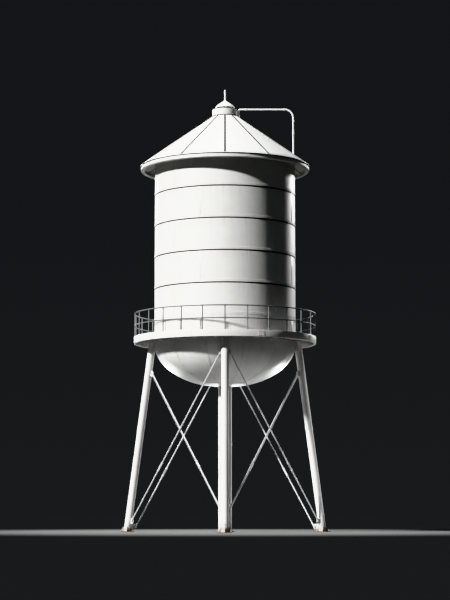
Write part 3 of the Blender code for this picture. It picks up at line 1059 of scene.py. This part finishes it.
def makeCap():
    rim = cap["neckTop"]
    hole = vent["hole"]
    outer = profile(0, rim, smoothLine(cap["curve"], 4))
    drop = cap["insideDrop"]
    inner = [(max(radius - cap["plate"], hole), height - drop) for radius, height in outer[::-1]]
    lip = arcLine((cap["lipReach"], rim + cap["lipRise"]), cap["lipRadius"], -180, 0, 8)
    crown = profile(0, cap["topZ"], cap["crown"])
    makePiece("ventCap", [turned([*lip, *outer, *crown, *inner], vent["steps"])], "roofPaint", "vent_cap")
    low = vent["topZ"] + cap["wireFoot"]
    high = rim + cap["wireTop"]
    near, far = cap["core"]
    wire = lathed([(cap["wireRadius"], 0), (cap["wireRadius"], high - low)], 6)
    wires = [Matrix.Translation(ringSpot(cap["neck"], angle, low)) for angle in around(cap["wires"])]
    # painted shade: a solid dark ring behind the wires stands for the shade inside the vent under the cap
    core = turned([(near, low), (far, low), (far, high), (near, high)], vent["steps"])
    parts = [stamped(wire, wires), core]
    for height in (low + cap["hoopInset"], high - cap["hoopInset"]):
        parts.append(turned(arcLine((cap["neck"], height), cap["hoopRadius"], 0, 315, 7), vent["steps"]))
    makePiece("ventScreen", parts, "ventWireAndShade")
    foot, top = (corner.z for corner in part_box("finial"))
    rings = profile(0, foot, cap["finialFoot"]) + profile(0, top, cap["finialTip"])
    makePiece("finialRod", [lathed(rings, 32)], "fittingPaint", "finial")


makeVent()
makeCap()
print("vent: done")

pipe = dict(
    radius=0.037,
    sides=24,
    nearX=0.630,
    farX=3.100,
    topZ=19.085,
    nearBend=0.050,
    farBend=0.38,
    farStraight=0.020,  # from the last joint to the long bend
    footDrop=0.020,
    jointX=0.95,
    # a sleeve on each side of a joint, with a raised ring at both its ends
    sleeveLength=0.049,
    sleeveGap=0.001,
    sleeve=(
        (0.042, 0), (0.046, 0.003), (0.046, 0.012), (0.042, 0.016),
        (0.042, 0.033), (0.046, 0.037), (0.046, 0.046), (0.042, 0.049),
    ),
    # a flange that lies on the roof at the far foot, with black compound round it, and a smaller near collar
    flange=((0.092, -0.004), (0.092, 0.008), (0.088, 0.011), (0.056, 0.012), (0.046, 0.028)),
    collar=((0.050, -0.014), (0.050, 0.010), (0.044, 0.020)),
    seal=((0.104, -0.003), (0.102, 0.004), (0.095, 0.007)),
    bolt=(0.006, 0.003),
    boltReach=0.074,
    boltSeat=0.010,
)


def makePipe():
    near = pipe["nearX"]
    far = pipe["farX"]
    top = pipe["topZ"]
    joint = pipe["jointX"]
    bend = pipe["nearBend"]
    farBend = pipe["farBend"]
    bendEnd = far - farBend - pipe["farStraight"]
    nearArc = arcLine((near + bend, top - bend), bend, 180, 90, 6)
    farArc = arcLine((far - farBend, top - farBend), farBend, 90, 0, 16)
    nearFoot = (near, roofZ(near) - pipe["footDrop"])
    farFoot = (far, roofZ(far) - pipe["footDrop"])
    gap = tower["gap"]
    before = -pipe["sleeveLength"] - pipe["sleeveGap"]
    after = pipe["sleeveGap"]
    lengths = (
        # name, node, route in x and z, where the sleeves start
        ("pipeInlet", "roof_pipe_inlet", [nearFoot, *nearArc, (joint, top)], [joint + before]),
        ("pipeRun", "roof_pipe_run", [(joint + gap, top), (bendEnd, top)], [joint + after, bendEnd + before]),
        ("pipeDrop", "roof_pipe_drop", [(bendEnd + gap, top), *farArc, farFoot], [bendEnd + after]),
    )
    sleeve = lathed(pipe["sleeve"], 28)
    for name, node, route, starts in lengths:
        bar = tubeAlong([(x, 0, z) for x, z in route], pipe["radius"], pipe["sides"])
        sleeves = stamped(sleeve, [placeOn((x, 0, top), (1, 0, 0), (0, 1, 1)) for x in starts])
        makePiece(name, [bar, sleeves], "fittingPaint", node)
    farPlace = onRoof(far, 90)
    collar = stamped(lathed(pipe["collar"], 28), [onRoof(near, 90)])
    flange = stamped(lathed(pipe["flange"], 32), [farPlace])
    spots = arcLine((0, 0), pipe["boltReach"], 45, 315, 3)
    bolts = [farPlace @ Matrix.Translation((x, y, pipe["boltSeat"])) for x, y in spots]
    makePiece("pipeFlanges", [flange, collar], "fittingPaint")
    makePiece("pipeSeals", [stamped(lathed(pipe["seal"], 32), [farPlace])], "seamPitchAndShadow")
    makeBolts("pipeBolts", pipe["bolt"], bolts, "fitting_paint")


makePipe()
print("roof pipe: done")

balcony = dict(
    radius=4.085,
    topZ=8.66,
    depth=0.30,
    flange=0.10,
    plate=0.012,
    edge=0.006,
    fillet=0.010,
    splices=8,
    firstSplice=22.5,
    strapMargin=0.035,
    strap=dict(
        width=0.30, proud=0.008, ease=0.002, steps=6, seat=0.008, margin=0.035,
        across=(-0.78, -0.28, 0.28, 0.78),
    ),
    rivet=(0.012, 0.009),
    plates=24,
    plateSteps=8,
    plateEdge=0.001,
    plateGap=0.003,
    stud=((-0.017, 0), (0, -0.0055), (0.017, 0), (0, 0.0055)),
    studThick=0.006,
    studEdge=0.0018,
    studLift=0.001,
    studPitch=0.075,
    studNear=3.260,
    studFar=3.965,
    brackets=24,
    bracketHalf=0.005,
    bracketSlant=0.10,
    bracketRise=0.020,  # of the slanting foot, towards the tank
    bracketFlange=(0.070, 0.009),
    bracketGaps=(0.004, 0.002, 0.004),  # to the tank, and to the girder's side and foot
)


def makeGirder():
    out = balcony["radius"]
    top = balcony["topZ"]
    foot = top - balcony["depth"]
    plate = balcony["plate"]
    tip = out - balcony["flange"]
    edge = balcony["edge"]
    fillet = balcony["fillet"]
    corner = out - plate - fillet
    outline = [
        (tip, foot),
        *arcLine((out - edge, foot + edge), edge, -90, 0, 3),
        *arcLine((out - edge, top - edge), edge, 0, 90, 3),
        (tip, top),
        (tip, top - plate),
        *arcLine((corner, top - plate - fillet), fillet, 90, 0, 3),
        *arcLine((corner, foot + plate + fillet), fillet, 0, -90, 3),
        (tip, foot + plate),
    ]
    spare = balcony["strapMargin"]
    middles = around(balcony["splices"], balcony["firstSplice"])
    plates, rivets = strapped(out, balcony["strap"], foot + spare, top - spare, middles, rows=3)
    makePiece("balconyGirder", [turned(outline)], "framePaint", "balcony_girder")
    makePiece("girderSplices", plates, "framePaint")
    makeHeads("girderRivets", balcony["rivet"], rivets, "framePaint")


def makeDeck():
    low, high = (corner.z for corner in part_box("balcony_deck"))
    inside = tower["tankRadius"] + tower["fitGap"]
    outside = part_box("balcony_deck")[1].x
    edge = balcony["plateEdge"]
    outline = [
        (inside, low), (outside, low), (outside, high - edge),
        (outside - edge, high), (inside + edge, high), (inside, high - edge),
    ]
    sweep = 360 / balcony["plates"]
    spare = math.degrees(balcony["plateGap"] / 2 / inside)
    starts = around(balcony["plates"], sweep / 2)
    steps = balcony["plateSteps"]
    plates = [turned(outline, steps, start + spare, sweep - 2 * spare) for start in starts]
    pitch = balcony["studPitch"]
    studs = []
    for row in range(int((balcony["studFar"] - balcony["studNear"]) / (pitch / 2))):
        radius = balcony["studNear"] + row * pitch / 2
        count = int(math.tau * radius / pitch)
        odd = row % 2
        turn = 45 if odd else -45
        for angle in around(count, 180 * odd / count):
            spot = Matrix.Translation(ringSpot(radius, angle, high + balcony["studLift"]))
            studs.append(spot @ turnedAbout(angle + turn))
    stud = plateShape(balcony["stud"], balcony["studThick"], balcony["studEdge"])
    makePiece("deckPlates", plates, "deckZinc", "balcony_deck")
    makePiece("deckStuds", [stamped(stud, studs)], "deckZinc")


def makeBrackets():
    # radial brackets below the deck, from the tank to the girder, each with a flange at its foot
    nearGap, farGap, footGap = balcony["bracketGaps"]
    near = tower["tankRadius"] + nearGap
    bend = near + balcony["bracketSlant"]
    far = balcony["radius"] - balcony["plate"] - farGap
    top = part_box("balcony_deck")[0].z - tower["fitGap"]
    foot = balcony["topZ"] - balcony["depth"] + balcony["plate"] + footGap + tower["fitGap"]
    width, thick = balcony["bracketFlange"]
    low = foot + thick + tower["fitGap"]
    outline = [(near, low + balcony["bracketRise"]), (bend, low), (far, low), (far, top), (near, top)]
    webs = []
    places = []
    for angle in around(balcony["brackets"], 180 / balcony["brackets"]):
        side = ringSpot(1, angle + 90, 0) * balcony["bracketHalf"]
        webs.append(lofted([
            [ringSpot(radius, angle, height) + side * way for radius, height in outline] for way in (-1, 1)
        ]))
        middle = ringSpot((bend + far) / 2, angle, foot + thick / 2)
        places.append(placeOn(middle, upward, ringSpot(1, angle, 0)))
    flange = boxShape((width, far - bend, thick))
    makePiece("deckBrackets", webs + [stamped(flange, places)], "framePaint")


makeGirder()
makeDeck()
makeBrackets()

railing = dict(
    ring=4.05,
    railRise=1.065,
    midRise=0.49,
    tube=0.027,
    midTube=0.92,  # the middle rail's radius, as a share of the handrail's
    endGap=0.005,  # at each end of a panel, in degrees
    post=0.024,
    postFoot=0.002,
    # sleeves on the rails, each by how proud it is and half its length
    postSleeve=(0.006, 0.045),
    endSleeve=(0.004, 0.0225),
    endSleeveIn=0.02475,  # from the rail's end to the middle of the sleeve there
    sleeveEnds=0.96,  # the radius at a sleeve's ends, as a share of its middle's
    tee=(0.027, 0.030, 0.004),  # a sleeve's radius at its ends and between, and how long they are
    teeReach=0.060,
    footHalf=0.033,
    footThick=0.008,
    footEdge=0.0015,
    bolt=(0.0035, 0.002),
    boltHalf=0.024,
    collar=((0.031, 0.006), (0.031, 0.040), (0.027, 0.047)),
    # panels from the front one towards the right, and their posts
    panels=dict(Front=3, FrontRight=3, Right=4, BackRight=3, Back=3, BackLeft=3, Left=4, FrontLeft=3),
)


def sleeveRing(height, angle, tube, proud, length):
    # a short sleeve round a curved rail, a little thinner at its ends
    radius = railing["ring"]
    tube += proud
    half = math.degrees(length / radius)
    path = [ringSpot(radius, turn, height) for turn in between(angle - half, angle + half, 6)]
    ends = tube * railing["sleeveEnds"]
    return tubeAlong(path, [ends, *[tube] * 5, ends])


def makeRailings():
    ring = railing["ring"]
    tube = railing["tube"]
    reachUp = railing["teeReach"]
    endRadius, teeRadius, ease = railing["tee"]
    floorZ = balcony["topZ"]
    topRise = railing["railRise"] - tube
    midRise = railing["midRise"]
    inset = railing["endGap"] + math.degrees(railing["endSleeveIn"] / ring)
    pitch = 360 / sum(railing["panels"].values())
    thick = railing["footThick"]
    foot = plateShape(cornersOf(railing["footHalf"]), thick, railing["footEdge"])
    seat = Vector((0, 0, tower["fitGap"] + thick / 2))
    bars = [[(railing["post"], railing["postFoot"]), (railing["post"], topRise)], railing["collar"]]
    for low, high in ((topRise - reachUp, topRise), (midRise - reachUp, midRise + reachUp)):
        tee = [(endRadius, low), (teeRadius, low + ease), (teeRadius, high - ease), (endRadius, high)]
        bars.append(tee)
    post = joined([lathed(rings, 16) for rings in bars])
    bolts = []
    end = -railing["panels"]["Front"] * pitch / 2
    for name, posts in railing["panels"].items():
        half = posts * pitch / 2
        centre = end + half
        end = centre + half
        stop = half - railing["endGap"]
        angles = [centre + (number - (posts - 1) / 2) * pitch for number in range(posts)]
        curve = between(centre - stop, centre + stop, 10 * posts)
        shapes = []
        for rise, share in ((topRise, 1), (midRise, railing["midTube"])):
            height = floorZ + rise
            shapes.append(tubeAlong([ringSpot(ring, angle, height) for angle in curve], tube * share))
            for angle in (centre - half + inset, centre + half - inset):
                shapes.append(sleeveRing(height, angle, tube, *railing["endSleeve"]))
            shapes += [sleeveRing(height, angle, tube, *railing["postSleeve"]) for angle in angles]
        for angle in angles:
            base = ringSpot(ring, angle, floorZ)
            plate = placeOn(base + seat, upward, ringSpot(1, angle, 0))
            shapes += [stamped(post, [Matrix.Translation(base)]), stamped(foot, [plate])]
            corners = cornersOf(railing["boltHalf"])
            bolts += [plate @ Matrix.Translation((x, y, thick / 2)) for x, y in corners]
        makePiece("rail" + name, shapes, "railZinc", "railing_" + snake(name))
    makeBolts("railBolts", railing["bolt"], bolts, "rail_paint")


makeRailings()
print("balcony: done")

leg = dict(
    radius=0.162,
    sides=48,
    footX=4.342,
    rake=0.1293,
    plateSide=0.62,
    plateThick=0.030,
    plateEdge=0.003,
    plateCut=0.035,
    anchor=(0.018, 0.006),
    anchorHalf=0.255,
    gussetThick=0.014,
    gussetHalf=0.12,
    gussetCut=0.06,
    gussetBlunt=0.45,  # half the width of its tip, as a share of half its width
    gussetSunk=0.006,
    gussetEdge=0.085,  # from the pin to the plate's outer edge
    # upper and lower pin, each by its height and its distance from the leg's axis
    endPins=((7.78, 0.235), (0.95, 0.235)),
    sideFrontPins=((7.05, 0.235), (0.50, 0.235)),
    sideBackPins=((7.05, 0.235), (0.27, 0.44)),
    rib=((-0.008, 0), (0.133, 0), (0.133, 0.030), (0.016, 0.20), (-0.036, 0.20)),
    ribThick=0.012,
    ribShift=0.004,
    weld=0.006,
    weldOut=0.001,
    # the weld round the foot: its radius, and steps out and up
    footWeld=(0.009, 0.002, 0.003),
    levels=(2.0, 4.60, 6.5),  # where the pipe's side is divided
    cutter=(0.02, 9.0),  # inner radius and top of the solid that cuts the leg to the tank
    # the sleeve over the joint halfway up: steps up from its middle, and out from the pipe
    sleeveZ=4.60,
    sleeve=((-0.09, 0.001), (-0.085, 0.008), (0.085, 0.008), (0.09, 0.001)),
)


def legX(height):
    return leg["footX"] - leg["rake"] * height


def legLoop(height, grow=0.0):
    # a level loop round the right-hand leg
    reach = leg["radius"] + grow
    return [(legX(height) + x * reach, y * reach, height) for x, y in circleOf(leg["sides"])]


def braceAxes(side):
    # directions along the right-hand leg, across to its neighbour and out of their panel
    along = Vector((-leg["rake"], 0, 1)).normalized()
    other = Vector((0, -side * leg["rake"], 1)).normalized()
    normal = along.cross(other).normalized()
    if normal.x < 0:
        normal.negate()
    across = normal.cross(along)
    if across.x > 0:
        across.negate()
    return along, across, normal


def pinSpot(side, pin):
    height, reach = pin
    return Vector((legX(height), 0, height)) + braceAxes(side)[1] * reach


def legsBeside(corner):
    # the two legs of the panel at this corner, the second a quarter turn after the first
    ends = [(cornerTurns[corner] + way) % 360 for way in (-45, 45)]
    return [name for end in ends for name, turn in sideTurns.items() if turn == end]


def pinsOf(name, corner):
    if name in ("Front", "Back"):
        return leg["endPins"]
    return leg["sideFrontPins"] if corner.startswith("Front") else leg["sideBackPins"]


def rodPins(corner, face):
    # the outer rod climbs to the front leg in the front panels, and to the side leg in the back ones
    climbsToEnd = (face > 0) == corner.startswith("Front")
    pins = []
    for name in legsBeside(corner):
        upper, lower = pinsOf(name, corner)
        pins.append(upper if (name in ("Front", "Back")) == climbsToEnd else lower)
    return pins


def gussetShape(start, tip):
    half = leg["gussetHalf"]
    cut = tip - leg["gussetCut"]
    blunt = half * leg["gussetBlunt"]
    outline = [(start, -half), (cut, -half), (tip, -blunt), (tip, blunt), (cut, half), (start, half)]
    return plateShape(outline, leg["gussetThick"])


def copedPipe(shape):
    # cuts the top of a leg to the side of the tank and bowl
    gap = tower["fitGap"]
    curve = bowlCurve(24, gap)
    near, top = leg["cutter"]
    rings = [(near, curve[0][1]), *curve, (tower["tankRadius"] + gap, top), (near, top)]
    blank = solidOf("legBlank", shape)
    cutter = solidOf("legCut", lathed(rings, 96))
    cut = blank.modifiers.new("cope", "BOOLEAN")
    cut.operation = "DIFFERENCE"
    cut.solver = "EXACT"
    cut.object = cutter
    bpy.context.view_layer.update()
    graph = bpy.context.evaluated_depsgraph_get()
    bm = bmesh.new()
    bm.from_mesh(bpy.data.meshes.new_from_object(blank.evaluated_get(graph)))
    for item in (blank, cutter):
        bpy.data.objects.remove(item)
    return shapeOf(bm)


def gussetsOf():
    # gusset plates for the tie rods, welded along the pipe, as they lie on the right-hand leg
    radius = leg["radius"]
    half = leg["gussetHalf"]
    plates = {name: [] for name in sideTurns}
    for corner in cornerTurns:
        for side, name in zip((1, -1), legsBeside(corner)):
            along, across, normal = braceAxes(side)
            for height, reach in pinsOf(name, corner):
                place = Matrix((across, along, normal)).transposed().to_4x4()
                place.translation = (legX(height), 0, height)
                gusset = gussetShape(radius - leg["gussetSunk"], reach + leg["gussetEdge"])
                plates[name].append(stamped(gusset, [place]))
                for face in (-1, 1):
                    middle = place.translation + across * (radius + leg["weldOut"])
                    middle += normal * face * (leg["gussetThick"] / 2 + leg["weldOut"])
                    bead = between(middle - along * half, middle + along * half, 20)
                    plates[name].append(tubeAlong(bead, leg["weld"], 8))
    return plates


def makeLegs():
    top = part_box("balcony_deck")[0].z - tower["fitGap"]
    footX = leg["footX"]
    thick = leg["plateThick"]
    foot = thick + tower["gap"]
    # stiffening ribs at the foot and a weld round it, the sleeve, and the pipe
    rib = plateShape(profile(leg["radius"], 0, leg["rib"]), leg["ribThick"])
    base = Matrix.Translation((footX - leg["ribShift"], 0, foot))
    upright = placeOn((0, 0, 0), (0, -1, 0))
    weldRadius, weldOut, weldUp = leg["footWeld"]
    weld = tubeAlong(legLoop(foot, weldOut), weldRadius, 8, loop=True)
    shared = [
        stamped(rib, [base @ turnedAbout(turn) @ upright for turn in around(4)]),
        stamped(weld, [Matrix.Translation((0, 0, weldUp))]),
        lofted([legLoop(leg["sleeveZ"] + up, grow) for up, grow in leg["sleeve"]]),
        copedPipe(lofted([legLoop(height) for height in (foot, *leg["levels"], top)])),
    ]
    gussets = gussetsOf()
    half = leg["plateSide"] / 2
    cut = half - leg["plateCut"]
    outline = [
        (cut, -half), (half, -cut), (half, cut), (cut, half),
        (-cut, half), (-half, cut), (-half, -cut), (-cut, -half),
    ]
    flat = plateShape(outline, thick, leg["plateEdge"])
    plate = stamped(flat, [Matrix.Translation((footX, 0, thick / 2))])
    anchors = [Matrix.Translation((footX + x, y, thick)) for x, y in cornersOf(leg["anchorHalf"])]
    bolts = []
    for name, turn in sideTurns.items():
        spin = turnedAbout(turn)
        node = name.lower()
        whole = stamped(joined(shared + gussets[name]), [spin])
        makePiece("leg" + name, [whole], "framePaint", "leg_" + node)
        makePiece("basePlate" + name, [stamped(plate, [spin])], "footSteel", "base_plate_" + node)
        bolts += [spin @ place for place in anchors]
    makeBolts("anchorBolts", leg["anchor"], bolts, "foot_steel")


makeLegs()
print("legs: done")

tie = dict(
    radius=0.028,
    # each end by its distance from the pin, and the radius there
    ends=((0.030, 0.031), (0.075, 0.035), (0.130, 0.031), (0.200, 0.028)),
    eye=((0.052, -0.020), (0.056, -0.016), (0.056, 0.016), (0.052, 0.020)),
    # the turnbuckle, by its place up the rod
    buckleAt=0.30,
    buckleLength=0.44,
    bossLength=0.070,
    boss=((0.040, 0), (0.046, 0.006), (0.046, 0.064), (0.040, 0.070)),
    barReach=0.038,
    barInset=0.020,
    barRadius=0.011,
    nutLength=0.030,
    nut=((0.036, 0), (0.039, 0.003), (0.039, 0.027), (0.036, 0.030)),
    # the pin, its washers, its nut and its head, each with its number of sides
    pin=(
        (18, ((0.018, -0.030), (0.018, 0.062), (0.015, 0.066))),
        (20, ((0.033, -0.0075), (0.033, -0.0125), (0.031, -0.0135))),
        (6, ((0.029, -0.0135), (0.031, -0.016), (0.031, -0.032), (0.027, -0.035))),
        (20, ((0.035, 0.0075), (0.035, 0.0125))),
        (20, ((0.031, 0.0500), (0.031, 0.0540), (0.029, 0.0550))),
    ),
)


def rodShape(low, lowAxis, high, highAxis):
    # a round bar with a forged eye at each end and a turnbuckle on the way
    along = (high - low).normalized()
    ends = tie["ends"]
    path = [low + along * reach for reach, _ in ends] + [high - along * reach for reach, _ in ends[::-1]]
    radii = [radius for _, radius in ends + ends[::-1]]
    start = low + (high - low) * tie["buckleAt"]
    end = start + along * tie["buckleLength"]
    bosses = [placeOn(spot, along, lowAxis) for spot in (start, end - along * tie["bossLength"])]
    nuts = [placeOn(spot, along, lowAxis) for spot in (start - along * tie["nutLength"], end)]
    shapes = [
        tubeAlong(path, radii),
        stamped(lathed(tie["eye"], 28), [placeOn(low, lowAxis, along), placeOn(high, highAxis, along)]),
        stamped(lathed(tie["boss"], 6), bosses),
        stamped(lathed(tie["nut"], 6), nuts),
    ]
    for way in (-1, 1):
        side = along.cross(lowAxis).normalized() * tie["barReach"] * way
        inset = along * tie["barInset"]
        bar = [start + inset + side, end - inset + side]
        shapes.append(tubeAlong(bar, tie["barRadius"], 12))
    return joined(shapes)


def makeRods():
    quarter = Matrix.Rotation(math.pi / 2, 3, "Z")
    firstNormal = braceAxes(1)[2]
    secondNormal = quarter @ braceAxes(-1)[2]
    offset = leg["gussetThick"] / 2 + tie["radius"] + tower["gap"]
    pins = []
    for corner, turn in cornerTurns.items():
        spin = turnedAbout(turn - 45)
        for word, face in (("Outer", 1), ("Inner", -1)):
            first, second = rodPins(corner, face)
            ends = [(pinSpot(1, first), firstNormal), (quarter @ pinSpot(-1, second), secondNormal)]
            pins += [spin @ placeOn(spot, normal * face) for spot, normal in ends]
            if first[0] > second[0]:
                ends.reverse()
            (low, lowAxis), (high, highAxis) = ends
            shift = offset * face
            shape = rodShape(low + lowAxis * shift, lowAxis, high + highAxis * shift, highAxis)
            node = f"tie_rod_{snake(corner)}_{word.lower()}"
            makePiece(f"tieRod{corner}{word}", [stamped(shape, [spin])], "rodZinc", node)
    pin = joined([lathed(rings, sides) for sides, rings in tie["pin"]])
    makePiece("tiePins", [stamped(pin, pins)], "boltZinc", slotName="rod_paint")


makeRods()
print("tie rods: done")

riser = dict(
    radius=0.30,
    sides=72,
    joints=(1.9, 3.9, 5.7),  # weld beads between the lengths of pipe
    bead=0.007,
    # the collar at the bowl and the flange at the foot, in steps out and up
    collar=(
        (-0.004, -0.070), (0.008, -0.070), (0.011, -0.062),
        (0.018, -0.020), (0.044, 0.001), (-0.004, 0.001),
    ),
    flange=(
        (-0.004, 0), (0.075, 0), (0.080, 0.004), (0.080, 0.018),
        (0.075, 0.022), (0.010, 0.024), (0.002, 0.034), (-0.004, 0.034),
    ),
    base=((0.45, 0), (0.45, 0.0253), (0.446, 0.0298)),
    baseThick=0.030,
    anchors=12,
    anchor=(0.011, 0.004),
    anchorReach=0.350,
    anchorSeat=0.021,
)


def makeRiser():
    radius = riser["radius"]
    sides = riser["sides"]
    foot = riser["baseThick"] + tower["gap"]
    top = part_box("riser_pipe")[1].z
    shapes = [lathed([(radius, height) for height in (foot, 2.0, 4.0, top)], sides)]
    for height in riser["joints"]:
        shapes.append(turned(arcLine((radius, height), riser["bead"], 0, 315, 7), sides))
    shapes.append(turned(profile(radius, top, riser["collar"]), sides))
    shapes.append(turned(profile(radius, foot, riser["flange"]), sides))
    angles = around(riser["anchors"], 180 / riser["anchors"])
    spots = [ringSpot(riser["anchorReach"], angle, foot + riser["anchorSeat"]) for angle in angles]
    makePiece("riserPipe", shapes, "framePaint", "riser_pipe")
    makePiece("riserBase", [lathed(riser["base"], 96)], "footSteel", "riser_base")
    makeBolts("riserAnchors", riser["anchor"], [Matrix.Translation(spot) for spot in spots], "foot_steel")


makeRiser()
print("riser: done")

studio = dict(
    floorRadius=300,
    floorTone=(0.30, 0.30, 0.296, 1),
    floorUnlitTone=(0.0329, 0.0336, 0.0346, 1),
    floorLightPool=(4.0, 20.0),  # a painted pool of light: the pale floor is painted darker between these distances
    backTone=(0.034, 0.0345, 0.036, 1),
    horizonTone=(0.040, 0.0405, 0.042, 1),
    lights=(
        # name, turn from the front towards the right, height in degrees, strength, softness
        ("keyLight", -54, 27.5, 6.2, 4),
        ("rimLight", 148, 15, 1.9, 8),
        ("backLight", 205, 14, 1.1, 10),
    ),
    spots=(
        # name, place, aim, width of the cone in degrees, power, size, soft edge
        ("roofLamp", (0, 0, 48), (0, 0, 0), 13.7, 36000, 0.1, 0.03),
        ("bowlLampMiddle", (0, 24, 0.6), (0, 0, 7.0), 17.0, 7000, 0.6, 0.4),
        ("bowlLampLeft", (-10, 23, 0.6), (-0.8, 0, 7.0), 17.0, 13000, 0.6, 0.4),
        ("bowlLampRight", (10, 23, 0.6), (0.8, 0, 7.0), 17.0, 13000, 0.6, 0.4),
        ("legLamp", (30, 2, 1.0), (3.9, 0, 3.9), 15.0, 12000, 0.6, 0.4),
    ),
    cameraDistance=84.0,
    cameraHeight=0.85,
    cameraTilt=6.46,
    lens=112.7,
    sensorWidth=36,
    clipEnd=2000,
)


def makeFloor():
    mesh = bpy.data.meshes.new("studioFloor")
    bm = bmesh.new()
    bmesh.ops.create_circle(bm, cap_ends=True, radius=studio["floorRadius"], segments=128)
    bm.to_mesh(mesh)
    bm.free()
    floor = addObject("studioFloor", mesh)
    material, tree, shader, position = newMaterial("floorPaint", {"Specular IOR Level": 0.0})
    away = addNode(tree, "ShaderNodeVectorMath", {0: position}, operation="LENGTH").outputs["Value"]
    # painted light: the floor's colour is a pool of light round the tower that fades to dark further out
    near, far = studio["floorLightPool"]
    inputs = {0: away, 1: near, 2: far}
    fade = addNode(tree, "ShaderNodeMapRange", inputs, interpolation_type="SMOOTHERSTEP").outputs[0]
    grain = noiseOf(tree, position, 9.0, detail=3.0, rough=0.5)
    # the floor shows from above alone, so that the underside of the tower can be looked at
    below = addNode(tree, "ShaderNodeNewGeometry").outputs["Backfacing"]
    setInputs(tree, shader, {
        "Base Color": mixOf(tree, fade, studio["floorTone"], studio["floorUnlitTone"]),
        "Roughness": rangeOf(tree, grain, 0.3, 0.7, 0.88, 0.94),
        "Alpha": mathOf(tree, "SUBTRACT", 1.0, below),
    })
    mesh.materials.append(material)


def makeBackdrop():
    world = bpy.data.worlds.new("studioBack")
    world.use_nodes = True
    tree = world.node_tree
    ray = addNode(tree, "ShaderNodeTexCoord").outputs["Generated"]
    fade = rangeOf(tree, tallOf(tree, ray), -0.02, 0.16)
    colour = mixOf(tree, fade, studio["horizonTone"], studio["backTone"])
    setInputs(tree, tree.nodes["Background"], {"Color": colour})
    bpy.context.scene.world = world


def makeLights():
    for name, turn, height, strength, softness in studio["lights"]:
        lamp = bpy.data.lights.new(name, "SUN")
        lamp.energy = strength
        lamp.angle = math.radians(softness)
        source = ringSpot(math.cos(math.radians(height)), turn, math.sin(math.radians(height)))
        addObject(name, lamp).rotation_euler = source.to_track_quat("Z", "Y").to_euler()
    for name, place, aim, cone, power, size, edge in studio["spots"]:
        lamp = bpy.data.lights.new(name, "SPOT")
        lamp.energy = power
        lamp.spot_size = math.radians(cone)
        lamp.spot_blend = edge
        lamp.shadow_soft_size = size
        light = addObject(name, lamp)
        light.location = place
        light.rotation_euler = (Vector(aim) - Vector(place)).to_track_quat("-Z", "Y").to_euler()
        light.visible_camera = False


def makeCamera():
    eye = bpy.data.cameras.new("photoCamera")
    eye.lens = studio["lens"]
    eye.sensor_width = studio["sensorWidth"]
    eye.clip_end = studio["clipEnd"]
    camera = addObject("photoCamera", eye)
    camera.location = (0, -studio["cameraDistance"], studio["cameraHeight"])
    camera.rotation_euler = (math.radians(90 + studio["cameraTilt"]), 0, 0)
    bpy.context.scene.camera = camera
    bpy.context.scene.view_settings.view_transform = "Khronos PBR Neutral"


makeFloor()
makeBackdrop()
makeLights()
makeCamera()
print("studio: done")
